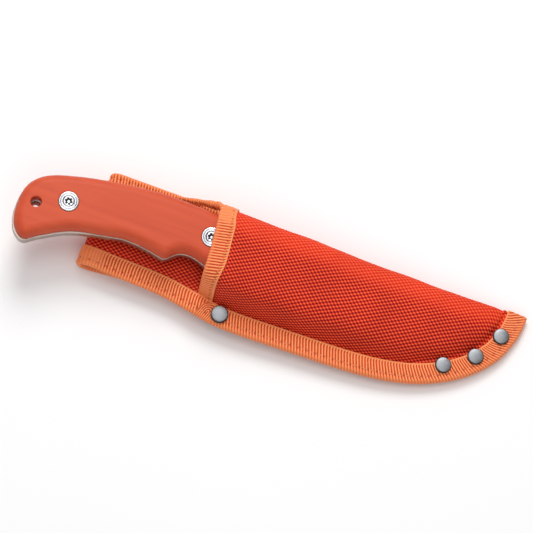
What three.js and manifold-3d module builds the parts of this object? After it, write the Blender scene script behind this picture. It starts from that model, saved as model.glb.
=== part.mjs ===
// Fixed-blade belt knife seated in its folded nylon sheath.
// Millimetres, +Z up. +X runs along the sheath towards its tip, +Y towards the
// straight folded side. The sheath lies on its back, on the belt loop and the tip.
import * as THREE from 'three';
import { mergeVertices } from 'three/addons/utils/BufferGeometryUtils.js';
import Module from 'manifold-3d';

const wasm = await Module();
wasm.setup();

// ---- driving dimensions ------------------------------------------------
const CLOTH = 1.2;            // sheath cloth thickness
const TAPE = 0.65;            // binding tape thickness
const TAPE_W = 9.7;           // binding tape width as seen on each face
const GAP = 0.06;             // clearance between touching soft pieces
const FOLD_X = -82.2;         // where the belt-loop fold starts
const LOOP_R = 4.2;           // inner radius of the belt-loop fold
const LAY_SLOPE = 0.0425;     // slope of the sheath back to the ground
const LOOP_END_X = -24;       // sewn end of the belt loop
const EXT_TOP = 20.8;         // upper edge of the back panel behind the handle
const EXT_LOW = -28.3;        // lower edge of the belt loop
const MOUTH_X = -26.8;        // mouth edge of the front panel, at its lower half

const KNIFE_X0 = -20, KNIFE_Z0 = 10.3, KNIFE_SLOPE = 0.0528;   // the knife's own plane in the sheath
const STEEL_T = 4.2;          // tang and blade thickness
const HANDLE_T = 16;          // over both scales
const SCALE_ROUND_IN = 5.2, SCALE_ROUND_UP = 4.6;
const SCREWS = [[-99.0, -7.6], [-29.2, 1.2]];                  // rear, front
const LANYARD = [-113.4, -13.4], LANYARD_R = 2.6;
const WASHER_R = 4.9, SCREW_HEAD_R = 2.6, SLEEVE_R = 3.0;
const DRAW = 0.215;           // draw length in metres, for reference

const RIVETS = [              // x, y, cap radius
  ['mouth_rivet', -13.0, -29.3, 4.0],
  ['belly_rivet_1', 95.7, -14.6, 3.7],
  ['belly_rivet_2', 108.4, -5.4, 3.7],
  ['belly_rivet_3', 116.6, 8.5, 3.7],
];

// outer edge of the binding, from the belt-loop fold round to the tip
const BELLY = [[-82.2, -28.3], [-70, -28.3], [-58.9, -28.5], [-48.6, -28.9], [-43.2, -29.3], [-37.9, -30], [-32.3, -31],
  [-26.7, -32.2], [-21.3, -33.3], [-14, -34.3], [-5.5, -34.6], [4.8, -34.5], [14.8, -34.2], [24.9, -33.9], [35,
  -33.6], [45.2, -33.3], [55.1, -32.7], [65, -31.8], [74.5, -30.2], [83.9, -27.8], [92.8, -24.3], [101.4,
  -19.7], [109.5, -13.9], [116.4, -6.8], [120.3, -1.1], [123, 5.4], [124.7, 10.9], [125.5, 16], [125.8, 21]];

// full-tang outline in the knife's own plane, butt first along the top
const HANDLE = [[-13.5, 14.0], [-20, 14.2], [-30, 14.3], [-40, 14.5], [-48, 14.6], [-56.9, 14.4], [-62.3, 13.9],
  [-66.7, 13.3], [-71.5, 12.5], [-76, 11.7], [-82, 10.5], [-88, 9.3], [-95, 7.7], [-101.5, 5.8], [-106.5, 4.0],
  [-111.5, 1.8], [-115.5, -0.9], [-118.6, -4.1], [-120.6, -7.8], [-121.8, -12.3], [-122.3, -16.8],
  [-122.1, -20.6], [-121.3, -24.4], [-119.8, -27.8], [-117.7, -30.4], [-115.4, -32.0], [-113.4, -32.4],
  [-111.7, -31.5], [-109.6, -29.4], [-107.2, -27.4], [-103.8, -25.1], [-100, -22.7], [-95.7, -20.5],
  [-90.4, -18.6], [-85.2, -17.3], [-80, -16.2], [-74.5, -15.1], [-69, -14.4], [-63.5, -14.3], [-58.5, -14.7],
  [-54, -15.3], [-50.2, -16.0], [-47.6, -16.3], [-45.7, -15.3], [-44.1, -13.7], [-42.4, -12.1], [-40.3, -10.9],
  [-37.9, -10.3], [-35.2, -10.3], [-32, -10.9], [-29, -11.8], [-26, -12.8], [-23, -13.9], [-20, -14.9],
  [-17, -15.5], [-14.2, -15.3], [-12.8, -13.4], [-12.3, -9], [-12.6, -3], [-13.2, 4], [-13.6, 10]];

// blade stations: x, spine y, edge y, thickness
const BLADE = [[-6.1, 13.7, -16.3, 4.2], [-2, 13.7, -16.8, 4.2], [10, 13.7, -17.2, 4.2], [25, 13.7, -17.4, 4.2],
  [40, 13.7, -17.1, 4.2], [52, 13.7, -16.5, 4.2], [62, 13.7, -15.4, 4.0], [71, 13.6, -13.5, 3.7],
  [79, 13.5, -11.2, 3.4], [86, 13.4, -8.0, 3.0], [92, 13.2, -4.4, 2.7], [97, 13.0, -0.6, 2.4],
  [101, 12.8, 3.2, 2.1], [104, 12.6, 7.0, 1.9], [106, 12.4, 10.4, 1.7], [106.6, 12.3, 11.7, 1.6]];

// ---- helpers -----------------------------------------------------------
const lerp = (a, b, t) => a + (b - a) * t;
const smooth = (a, b, x) => { const t = Math.min(1, Math.max(0, (x - a) / (b - a))); return t * t * (3 - 2 * t); };
function table(pts, x) {
  if (x <= pts[0][0]) return pts[0][1];
  for (let i = 1; i < pts.length; i++) {
    if (x <= pts[i][0]) return lerp(pts[i - 1][1], pts[i][1], (x - pts[i - 1][0]) / (pts[i][0] - pts[i - 1][0]));
  }
  return pts[pts.length - 1][1];
}

function toSolid(geometry) {
  let g = geometry.index ? geometry.toNonIndexed() : geometry.clone();
  for (const key of Object.keys(g.attributes)) if (key !== 'position') g.deleteAttribute(key);
  g = mergeVertices(g, 1e-4);
  const tri = new Uint32Array(g.index.array);
  const pos = new Float32Array(g.attributes.position.array);
  let volume = 0;
  const a = new THREE.Vector3(), b = new THREE.Vector3(), c = new THREE.Vector3();
  for (let i = 0; i < tri.length; i += 3) {
    a.fromArray(pos, tri[i] * 3); b.fromArray(pos, tri[i + 1] * 3); c.fromArray(pos, tri[i + 2] * 3);
    volume += a.dot(b.cross(c));
  }
  if (volume < 0) for (let i = 0; i < tri.length; i += 3) { const t = tri[i]; tri[i] = tri[i + 1]; tri[i + 1] = t; }
  return new wasm.Manifold(new wasm.Mesh({ numProp: 3, vertProperties: pos, triVerts: tri }));
}

function toGeometry(manifold) {
  const mesh = manifold.getMesh();
  const g = new THREE.BufferGeometry();
  g.setAttribute('position', new THREE.BufferAttribute(new Float32Array(mesh.vertProperties), 3));
  g.setIndex(new THREE.BufferAttribute(new Uint32Array(mesh.triVerts), 1));
  return g;
}

// A straight extrusion of a reference outline whose every vertex is then placed by place(ring, index).
function loft(outline, rings, place) {
  const shape = new THREE.Shape(outline.map(([x, y]) => new THREE.Vector2(x, y)));
  const g = new THREE.ExtrudeGeometry(shape, { depth: rings - 1, steps: rings - 1, bevelEnabled: false });
  const p = g.attributes.position;
  const v = new THREE.Vector3();
  for (let i = 0; i < p.count; i++) {
    const x = p.getX(i), y = p.getY(i), k = Math.round(p.getZ(i));
    let best = 0, bd = 1e9;
    for (let j = 0; j < outline.length; j++) {
      const d = (outline[j][0] - x) ** 2 + (outline[j][1] - y) ** 2;
      if (d < bd) { bd = d; best = j; }
    }
    place(k, best, v);
    p.setXYZ(i, v.x, v.y, v.z);
  }
  return g;
}

function plate(outline, z0, z1) {
  const shape = new THREE.Shape(outline.map(([x, y]) => new THREE.Vector2(x, y)));
  const g = new THREE.ExtrudeGeometry(shape, { depth: z1 - z0, steps: 1, bevelEnabled: false });
  g.translate(0, 0, z0);
  return g;
}

// turned piece about a vertical axis through (x, y)
function turned(profile, x, y, segments = 16) {
  const g = new THREE.LatheGeometry(profile.map(([r, z]) => new THREE.Vector2(r, z)), segments);
  g.rotateX(Math.PI / 2);
  g.translate(x, y, 0);
  return g;
}

function drill(x, y, r, z0, z1, segments = 16) {
  const g = new THREE.CylinderGeometry(r, r, z1 - z0, segments);
  g.rotateX(Math.PI / 2);
  g.translate(x, y, (z0 + z1) / 2);
  return toSolid(g);
}

function curve2(points, n, closed = false) {
  const c = new THREE.CatmullRomCurve3(points.map(([x, y]) => new THREE.Vector3(x, y, 0)), closed, 'centripetal');
  const out = [];
  for (let i = 0; i < n; i++) {
    const v = c.getPointAt(closed ? i / n : i / (n - 1));
    out.push([v.x, v.y]);
  }
  return out;
}

function normals2(pts, closed) {          // left-hand normals
  return pts.map((p, i) => {
    const n = pts.length;
    const a = closed ? pts[(i - 1 + n) % n] : pts[Math.max(0, i - 1)];
    const b = closed ? pts[(i + 1) % n] : pts[Math.min(n - 1, i + 1)];
    const dx = b[0] - a[0], dy = b[1] - a[1], l = Math.hypot(dx, dy);
    return [-dy / l, dx / l];
  });
}

// ---- placement of the knife in the sheath, and of everything on the ground --------
const knifeTilt = Math.atan(KNIFE_SLOPE);
const knifeMatrix = new THREE.Matrix4()
  .makeTranslation(KNIFE_X0, 0, KNIFE_Z0)
  .multiply(new THREE.Matrix4().makeRotationY(knifeTilt))
  .multiply(new THREE.Matrix4().makeTranslation(-KNIFE_X0, 0, 0));
const layTilt = Math.atan(LAY_SLOPE);
const layMatrix = new THREE.Matrix4().makeRotationY(layTilt);

// ---- sheath shape -------------------------------------------------------
// front panel: outer surface over the pocket, as a section that changes along X
const CROWN = [[-30, 21.6], [-17.8, 21.0], [-11, 20.4], [0, 19.1], [20, 17.0], [40, 15.0], [60, 13.1], [80, 11.2],
  [95, 9.5], [104, 8.0], [109, 6.6], [112.5, 4.8], [115, 3.3]];
const SPINE_LOW = [[-30, 20.4], [0, 19.9], [40, 20.0], [80, 20.3], [104, 20.8], [115, 21.2]];
const SPINE_LEAN = [[-30, 1.5], [0, 1.6], [40, 1.2], [80, 0.9], [104, 0.5], [115, 0.2]];
const MOUTH_SECTION = [[0, 0], [0.024, 0.18], [0.055, 0.42], [0.092, 0.66], [0.138, 0.84], [0.202, 0.94], [0.292, 0.985],
  [0.443, 1], [0.64, 1], [0.805, 0.985], [0.895, 0.93], [0.95, 0.81], [0.985, 0.62], [1, 0.28]];
const TIP_SECTION = [[0, 0], [0.05, 0.21], [0.1, 0.41], [0.16, 0.60], [0.22, 0.74], [0.30, 0.87], [0.42, 0.96],
  [0.56, 1], [0.70, 0.985], [0.82, 0.92], [0.90, 0.80], [0.955, 0.62], [0.985, 0.42], [1, 0.2]];
const SEC = MOUTH_SECTION.length;

const bellyLine = curve2(BELLY, 42);
const bellyIn = normals2(bellyLine, false);
const offsetLine = (d) => bellyLine.map((p, i) => [p[0] + bellyIn[i][0] * d, p[1] + bellyIn[i][1] * d]);
// the cloth starts to rise just inside the tape, and a little further in beside the tip rivets
const riseAt = (x) => TAPE_W + 0.4 + 1.3 * smooth(78, 90, x);
const innerLine = bellyLine.map((p, i) => [p[0] + bellyIn[i][0] * riseAt(p[0]), p[1] + bellyIn[i][1] * riseAt(p[0])]);
const yInner = (x) => table(innerLine, x);

// outer point of the pocket section j (0 at the binding, SEC-1 at the foot of the fold) and its normal
function section(x, j) {
  const m = table([[0, 1], [60, 0.55], [90, 0.3], [110, 0]], x);
  const t = lerp(TIP_SECTION[j][0], MOUTH_SECTION[j][0], m);
  const h = lerp(TIP_SECTION[j][1], MOUTH_SECTION[j][1], m);
  const y0 = yInner(x), low = table(SPINE_LOW, x), lean = table(SPINE_LEAN, x);
  const crown = table(CROWN, x), base = 2 * CLOTH + GAP;
  const y1 = low - lean;
  let y = lerp(y0, y1, t), z = base + (crown - base) * h;
  return [y, z];
}
function sectionPoint(x, j) {
  if (j >= SEC - 1 + 1) return [table(SPINE_LOW, x), 0];
  const i = Math.floor(j), f = j - i;
  const at = (q) => (q >= SEC ? [table(SPINE_LOW, x), 0] : section(x, q));
  const a = at(i), b = at(Math.min(SEC, i + 1));
  return [lerp(a[0], b[0], f), lerp(a[1], b[1], f)];
}
function sectionNormal(x, j) {
  const a = sectionPoint(x, Math.max(0, j - 1)), b = sectionPoint(x, Math.min(SEC, j + 1));
  const dy = b[0] - a[0], dz = b[1] - a[1], l = Math.hypot(dy, dz);
  return [-dz / l, dy / l];
}
// the mouth leans back a little towards the folded side
const mouthX = (y) => MOUTH_X - 1.9 * Math.pow(Math.max(0, (y + 5) / 17.5), 1.4) * (y > 12.5 ? 1 : 1);

const stations = [0, 0.55, 1, 2, 3, 4, 5, 6, 7, 8, 9, 10, 11, 12, 13];
const stationX = [MOUTH_X, -17.8, -8, 2, 14, 26, 40, 55, 70, 84, 96, 104, 109, 112.5, 115.2];

function panelX(k, j) {
  const x = stationX[k];
  const y = Math.min(section(x, Math.min(j, SEC - 1))[0], 13.5);
  return x + (mouthX(y) - MOUTH_X) * (1 - smooth(-17, 14, x));
}

function frontPanel() {
  const outer = [], inner = [];
  for (let j = 0; j <= SEC; j++) { outer.push(j); inner.push(j); }
  const order = [...outer.map((j) => [j, 0]), ...inner.reverse().map((j) => [j, 1])];
  const at = (k, [j, side]) => {
    const x = panelX(k, j);
    const p = sectionPoint(x, j);
    let q = p;
    if (side) {
      const n = sectionNormal(x, j);
      if (j === SEC) q = [p[0] - CLOTH, p[1]];
      else if (j === 0) q = [p[0] + 0.25, p[1] - CLOTH];
      else q = [p[0] - n[0] * CLOTH, p[1] - n[1] * CLOTH];
    }
    return [x, q[0], q[1]];
  };
  const ref = order.map((o) => { const p = at(4, o); return [p[1], p[2]]; });
  const bulge = toSolid(loft(ref, stationX.length, (k, i, v) => v.fromArray(at(k, order[i]))));
  // the sewn-down margin under the binding
  const full = offsetLine(TAPE + 0.25);
  const rise = innerLine.map((p, i) => [p[0] + bellyIn[i][0] * 0.25, p[1] + bellyIn[i][1] * 0.25]);
  const edge = [[MOUTH_X, table(full, MOUTH_X)], ...full.filter((p) => p[0] > MOUTH_X + 0.8)];
  const inside = [[MOUTH_X, table(rise, MOUTH_X)], ...rise.filter((p) => p[0] > MOUTH_X + 0.8)];
  const margin = toSolid(plate([...edge, ...inside.reverse()], CLOTH + GAP, 2 * CLOTH + GAP));
  let s = bulge.add(margin);
  for (const [, x, y] of RIVETS) s = s.subtract(drill(x, y, 1.65, -5, 8, 12));
  return s;
}

function backPanel() {
  const edge = offsetLine(TAPE + 0.2).filter((p) => p[0] > FOLD_X && p[1] < 20);
  const top = [[124.9, 20.1], [115.2, 19.5], [104, 19.1], [80, 18.6], [40, 18.3], [0, 18.2], [MOUTH_X - 2.4, 18.6],
    [MOUTH_X - 3.0, EXT_TOP - TAPE - 0.2], [FOLD_X + 0.1, EXT_TOP - TAPE - 0.2]];
  const start = [FOLD_X + 0.1, edge[0][1]];
  let s = toSolid(plate([start, ...edge.slice(1), ...top], 0, CLOTH));
  for (const [, x, y] of RIVETS) s = s.subtract(drill(x, y, 1.65, -5, 8, 12));
  return s;
}

// centre line of the cloth from the extension round the fold and back along the belt loop, as [x, z, nx, nz]
// with n the outward side (front of the extension, underside of the loop)
function loopPath(fromX, arcSteps, withEnd) {
  const out = [];
  const r = LOOP_R + CLOTH / 2, cz = CLOTH / 2 - r;
  if (fromX > FOLD_X) out.push([fromX, CLOTH / 2, 0, 1]);
  const last = Math.PI - layTilt;
  for (let i = 0; i <= arcSteps; i++) {
    const a = last * i / arcSteps;
    out.push([FOLD_X - r * Math.sin(a), cz + r * Math.cos(a), -Math.sin(a), Math.cos(a)]);
  }
  const n = [-Math.sin(last), Math.cos(last)];
  const e = out[out.length - 1];
  const along = (x) => [x, e[1] + LAY_SLOPE * (x - e[0]), n[0], n[1]];
  out.push(along(-37.5));
  if (withEnd) {
    const end = -TAPE * 2 - 0.2 - CLOTH / 2;
    const a = Math.atan2(end - along(-35)[1], 9.5);
    const a1 = (a + layTilt) / 2, a2 = a / 2;
    out.push([-35.2, along(-35.2)[1] + 0.5, Math.sin(a1), -Math.cos(a1)]);
    out.push([-27.6, end - 0.5, Math.sin(a2), -Math.cos(a2)]);
    out.push([-26.3, end, 0, -1]);
    out.push([LOOP_END_X, end, 0, -1]);
  }
  return out;
}

function alongLoop(profile, path, y0, dir) {
  return loft(profile, path.length, (k, i, v) => {
    const [x, z, nx, nz] = path[k];
    const [a, b] = profile[i];            // a inwards from the edge, b along the outward normal
    v.set(x + nx * b, y0 + dir * a, z + nz * b);
  });
}

function beltLoop() {
  const h = CLOTH / 2, w = EXT_TOP - EXT_LOW, m = TAPE + 0.2, f = TAPE_W + 0.2;
  const profile = [[m, -h], [w - m, -h], [w - m, h], [w - f, h], [w - f, h + TAPE + GAP], [f, h + TAPE + GAP], [f, h], [m, h]];
  const path = loopPath(-200, 8, true);
  path[0] = [FOLD_X, path[0][1], 0, 1];
  return toSolid(alongLoop(profile, path, EXT_TOP, -1));
}

function channel(h) {                     // a across the tape from its folded edge, b through its thickness
  const o = h + GAP, p = o + TAPE;
  return [[0, -p + 0.3], [0.3, -p], [TAPE_W, -p], [TAPE_W, -o], [TAPE, -o], [TAPE, o], [TAPE_W, o], [TAPE_W, p], [0.3, p], [0, p - 0.3]];
}

function edgeBinding(y0, dir) {
  const path = loopPath(MOUTH_X - 3.7, 8, true);
  return toSolid(alongLoop(channel(CLOTH / 2), path, y0, dir));
}

function lowerBinding() {                 // follows the widening lower edge of the back panel
  const path = loopPath(MOUTH_X - 2.0, 8, true);
  const extra = [-34, -44, -56, -70].map((x) => [x, CLOTH / 2, 0, 1]);
  path.splice(1, 0, ...extra);
  const profile = channel(CLOTH / 2);
  return toSolid(loft(profile, path.length, (k, i, v) => {
    const [x, z, nx, nz] = path[k];
    const [a, b] = profile[i];
    const upper = k < 6;                  // still on the extension
    const edge = upper ? table(bellyLine, x) : EXT_LOW;
    v.set(x + nx * b, edge + a, z + nz * b);
  }));
}

function bellyBinding() {
  const o = GAP, zt = 2 * CLOTH + GAP, p = o + TAPE;
  const profile = [[0, -p + 0.35], [0.35, -p], [TAPE_W, -p], [TAPE_W, -o], [TAPE, -o], [TAPE, zt + o], [TAPE_W, zt + o],
    [TAPE_W, zt + p], [0.35, zt + p], [0, zt + p - 0.35]];
  const keep = bellyLine.map((q, i) => i).filter((i) => bellyLine[i][0] > MOUTH_X - 0.6);
  const line = keep.map((i) => [bellyLine[i][0], bellyLine[i][1], bellyIn[i][0], bellyIn[i][1]]);
  line[0] = [MOUTH_X - 0.9, table(bellyLine, MOUTH_X - 0.9), 0, 1];
  let s = toSolid(loft(profile, line.length, (k, i, v) => {
    const [x, y, nx, ny] = line[k];
    const [a, b] = profile[i];
    v.set(x + nx * a, y + ny * a, b);
  }));
  for (const [, x, y] of RIVETS) s = s.subtract(drill(x, y, 1.65, -5, 8, 12));
  return s;
}

function mouthBinding() {
  // wraps the free edge of the front panel, from the belly binding over the handle and down the fold
  const js = [0.35, 1, 2, 3, 4, 5, 6, 7, 8, 9, 10, 11, 12, 13, 13.75];
  const c = GAP + 0.06, p = c + TAPE, w = 8.6;
  const profile = [[-1.25, -CLOTH - p + 0.3], [-0.95, -CLOTH - p], [w, -CLOTH - p], [w, -CLOTH - c], [-0.6, -CLOTH - c],
    [-0.6, c], [w, c], [w, p], [-0.95, p], [-1.25, p - 0.3]];
  return toSolid(loft(profile, js.length, (k, i, v) => {
    const j = js[k];
    const [a, b] = profile[i];
    const yRef = Math.min(section(MOUTH_X, Math.min(Math.round(j), SEC - 1))[0], 13.5);
    const lean = mouthX(yRef) - MOUTH_X;
    const x = MOUTH_X + lean + a;
    const xs = MOUTH_X + lean + Math.max(0, a);
    const q = sectionPoint(xs, j), n = sectionNormal(xs, Math.max(j, 0.9));
    v.set(x, q[0] + n[0] * b, q[1] + n[1] * b);
  }));
}

function liner() {
  const xs = [-8, 10, 30, 50, 70, 85, 97, 108];
  const js = [3, 4, 5, 6, 7, 8, 9, 10, 11, 12, 13];
  const order = [];
  js.forEach((j) => order.push(['o', j]));
  order.push(['b', 0], ['b', 1], ['b', 2], ['b', 3]);
  [...js].reverse().forEach((j) => order.push(['i', j]));
  const at = (x, [kind, j]) => {
    if (kind === 'b') {
      const y1 = table(SPINE_LOW, x) - CLOTH - 0.5, y0 = yInner(x) + 2.2;
      const z0 = CLOTH + 0.15, z1 = z0 + 0.9;
      return [[y1, z0], [y0, z0], [y0, z1], [y1 - 0.9, z1]][j];
    }
    const d = CLOTH + (kind === 'o' ? 0.3 : 1.2);
    const p = sectionPoint(x, j), n = sectionNormal(x, j);
    return [p[0] - n[0] * d, Math.max(p[1] - n[1] * d, kind === 'o' ? 3.2 : 2.4)];
  };
  const ref = order.map((o) => at(10, o));
  return toSolid(loft(ref, xs.length, (k, i, v) => { const q = at(xs[k], order[i]); v.set(xs[k], q[0], q[1]); }));
}

// ---- knife --------------------------------------------------------------
const handleLine = curve2(HANDLE, 68, true);
const handleIn = normals2(handleLine, true);
const ccw = handleLine.reduce((s, p, i) => { const q = handleLine[(i + 1) % handleLine.length]; return s + p[0] * q[1] - q[0] * p[1]; }, 0) > 0;
const inward = ccw ? 1 : -1;

function scale(side) {
  const half = STEEL_T / 2 + 0.05, straight = 3.4, top = HANDLE_T / 2;
  const rings = [[half, 0], [straight, 0]];
  for (const deg of [24, 44, 62, 78, 90]) {
    const a = deg * Math.PI / 180;
    rings.push([straight + SCALE_ROUND_UP * Math.sin(a), SCALE_ROUND_IN * (1 - Math.cos(a))]);
  }
  let s = toSolid(loft(handleLine, rings.length, (k, i, v) => {
    const [w, inset] = rings[k];
    v.set(handleLine[i][0] + handleIn[i][0] * inward * inset, handleLine[i][1] + handleIn[i][1] * inward * inset, side * w);
  }));
  for (const [x, y] of SCREWS) {
    s = s.subtract(drill(x, y, SLEEVE_R + 0.1, -12, 12, 20));
    s = side > 0 ? s.subtract(drill(x, y, WASHER_R + 0.1, top - 1.6, 12, 20)) : s.subtract(drill(x, y, WASHER_R + 0.1, -12, -(top - 1.6), 20));
  }
  return s.subtract(drill(LANYARD[0], LANYARD[1], LANYARD_R, -12, 12, 20));
}

function bladeTang() {
  const h = STEEL_T / 2;
  // tang and ricasso
  const cut = handleLine.filter((p) => p[0] < -14.5);
  const i0 = handleLine.findIndex((p, i) => p[0] >= -14.5 && handleLine[(i + 1) % handleLine.length][0] < -14.5);
  const ordered = [];
  for (let i = 1; i <= handleLine.length; i++) {
    const p = handleLine[(i0 + i) % handleLine.length];
    if (p[0] < -14.5) ordered.push(p);
  }
  const tang = [...ordered, [-13.2, -15.2], [-11.6, -14.2], [-9.9, -14.0], [-8.4, -14.7], [-7.3, -15.9], [-5.9, -16.3], [-5.9, 13.7], [-13.5, 13.9]];
  let s = toSolid(plate(tang, -h, h));
  const outline = [[-1, 3], [1, 3], [1, 1], [0.1, 0], [-0.1, 0], [-1, 1]];
  const blade = loft(outline, BLADE.length, (k, i, v) => {
    const [x, ys, ye, t] = BLADE[k];
    const g = k === 0 ? ye + 0.5 : ye + (ys - ye) * 0.56;
    const e = k === 0 ? t / 2 : 0.25;
    const pts = [[ys, -t / 2], [ys, t / 2], [g, t / 2], [ye, e], [ye, -e], [g, -t / 2]];
    v.set(x, pts[i][0], pts[i][1]);
  });
  s = s.add(toSolid(blade));
  for (const [x, y] of SCREWS) s = s.subtract(drill(x, y, SLEEVE_R + 0.1, -5, 5, 20));
  return s.subtract(drill(LANYARD[0], LANYARD[1], LANYARD_R, -5, 5, 20));
}

const flip = (profile, side) => (side > 0 ? profile : profile.map(([r, z]) => [r, -z]).reverse());
const face = HANDLE_T / 2;

function washer(x, y, side) {
  const p = [[2.05, face - 1.55], [WASHER_R, face - 1.55], [WASHER_R, face + 0.12], [WASHER_R - 0.35, face + 0.45],
    [SCREW_HEAD_R + 0.1, face + 0.45], [SCREW_HEAD_R + 0.1, face - 0.7], [2.05, face - 0.7], [2.05, face - 1.55]];
  return toSolid(turned(flip(p, side), x, y, 20));
}

function screw(x, y, side) {
  const p = [[0, 3.2], [1.8, 3.2], [1.8, face - 0.65], [SCREW_HEAD_R, face - 0.65], [SCREW_HEAD_R, face + 0.2],
    [SCREW_HEAD_R - 0.2, face + 0.38], [0, face + 0.38]];
  const star = [];
  for (let i = 0; i < 24; i++) {
    const a = i * Math.PI / 12, r = 1.42 + 0.24 * Math.cos(6 * a);
    star.push([x + r * Math.cos(a), y + r * Math.sin(a)]);
  }
  const recess = side > 0 ? plate(star, face - 0.8, face + 1) : plate(star, -face - 1, -face + 0.8);
  return toSolid(turned(flip(p, side), x, y, 20)).subtract(toSolid(recess));
}

function sleeve(x, y) {
  const l = face - 1.65;
  return toSolid(turned([[1.9, -l], [SLEEVE_R, -l], [SLEEVE_R, l], [1.9, l], [1.9, -l]], x, y, 18));
}

// ---- rivets -------------------------------------------------------------
const tapeTop = 2 * CLOTH + 2 * GAP + TAPE, tapeBottom = -GAP - TAPE;
function rivetCap(x, y, r) {
  const z = tapeTop + GAP;
  return toSolid(turned([[0, z + 0.85], [1.25, z + 0.85], [1.25, z], [r, z], [r, z + 0.45], [r - 0.5, z + 1.0], [r - 1.6, z + 1.35], [0, z + 1.5]], x, y, 16));
}
function rivetPost(x, y, r) {
  const z = tapeBottom - GAP, t = tapeTop;
  return toSolid(turned([[0, z - 0.95], [r - 0.5, z - 0.95], [r, z - 0.6], [r, z], [1.5, z], [1.5, t], [1.15, t], [1.15, t + 0.75], [0, t + 0.75]], x, y, 16));
}

// ---- assembly -----------------------------------------------------------
const orange = (hex, rough = 0.85) => new THREE.MeshStandardMaterial({ color: hex, roughness: rough, metalness: 0 });
const steel = (hex, rough) => new THREE.MeshStandardMaterial({ color: hex, roughness: rough, metalness: 1 });

const pieces = [];      // [name, solid, material, moving with the knife]
pieces.push(['sheath_back_panel', backPanel(), orange(0xd8412a), false]);
pieces.push(['sheath_front_panel', frontPanel(), orange(0xdd4530), false]);
pieces.push(['belt_loop', beltLoop(), orange(0xd8412a), false]);
pieces.push(['blade_liner', liner(), new THREE.MeshStandardMaterial({ color: 0x1c1c1e, roughness: 0.5, metalness: 0 }), false]);
pieces.push(['belly_binding', bellyBinding(), orange(0xe8854d), false]);
pieces.push(['mouth_binding', mouthBinding(), orange(0xe8854d), false]);
pieces.push(['upper_edge_binding', edgeBinding(EXT_TOP, -1), orange(0xe8854d), false]);
pieces.push(['lower_edge_binding', lowerBinding(), orange(0xe8854d), false]);
for (const [name, x, y, r] of RIVETS) {
  pieces.push([`${name}_cap`, rivetCap(x, y, r), steel(0xb9b6b2, 0.35), false]);
  pieces.push([`${name}_post`, rivetPost(x, y, r), steel(0xa9a6a2, 0.4), false]);
}
pieces.push(['blade_tang', bladeTang(), steel(0xb4b6b8, 0.32), true]);
pieces.push(['front_scale', scale(1), orange(0xd9644b, 0.55), true]);
pieces.push(['rear_scale', scale(-1), orange(0xd9644b, 0.55), true]);
['rear', 'front'].forEach((where, i) => {
  const [x, y] = SCREWS[i];
  pieces.push([`${where}_sleeve`, sleeve(x, y), steel(0xa8a8a8, 0.4), true]);
  pieces.push([`${where}_screw_near`, screw(x, y, 1), steel(0xcfd0d2, 0.25), true]);
  pieces.push([`${where}_screw_far`, screw(x, y, -1), steel(0xcfd0d2, 0.25), true]);
  pieces.push([`${where}_washer_near`, washer(x, y, 1), steel(0xd6d7d9, 0.22), true]);
  pieces.push([`${where}_washer_far`, washer(x, y, -1), steel(0xd6d7d9, 0.22), true]);
});

// lay the sheath on the ground and put the origin under the middle of the whole object
const geometries = pieces.map(([name, solid, material, moving]) => {
  const g = toGeometry(solid);
  if (moving) g.applyMatrix4(knifeMatrix);
  g.applyMatrix4(layMatrix);
  g.computeBoundingBox();
  return g;
});
const box = new THREE.Box3();
geometries.forEach((g) => box.union(g.boundingBox));
const shift = new THREE.Vector3(-(box.min.x + box.max.x) / 2, -(box.min.y + box.max.y) / 2, -box.min.z);

const object = new THREE.Group();
const sheath = new THREE.Group();
const knife = new THREE.Group();
object.add(sheath, knife);
pieces.forEach(([name, , material, moving], i) => {
  const g = geometries[i];
  g.translate(shift.x, shift.y, shift.z);
  g.computeVertexNormals();
  const mesh = new THREE.Mesh(g, material);
  mesh.name = name;
  (moving ? knife : sheath).add(mesh);
});

export default object;
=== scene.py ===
import math
import bpy
import numpy as np
from mathutils import Matrix, Vector
from mathutils.geometry import delaunay_2d_cdt

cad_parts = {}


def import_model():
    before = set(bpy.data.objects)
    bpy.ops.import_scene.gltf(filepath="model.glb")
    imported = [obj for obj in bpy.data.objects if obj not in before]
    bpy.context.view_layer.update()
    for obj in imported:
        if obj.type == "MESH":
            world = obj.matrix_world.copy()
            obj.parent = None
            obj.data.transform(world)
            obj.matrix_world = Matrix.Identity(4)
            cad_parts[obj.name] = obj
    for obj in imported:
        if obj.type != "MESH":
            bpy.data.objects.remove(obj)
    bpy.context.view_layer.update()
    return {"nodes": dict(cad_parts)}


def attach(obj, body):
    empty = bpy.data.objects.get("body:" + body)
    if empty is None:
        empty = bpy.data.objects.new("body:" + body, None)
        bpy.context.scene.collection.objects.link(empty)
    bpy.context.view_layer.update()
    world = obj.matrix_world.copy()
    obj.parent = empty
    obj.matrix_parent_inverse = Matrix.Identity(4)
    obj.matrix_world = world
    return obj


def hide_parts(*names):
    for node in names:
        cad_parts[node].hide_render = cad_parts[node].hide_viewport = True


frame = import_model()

rng = np.random.default_rng(7)
PI = math.pi

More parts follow.
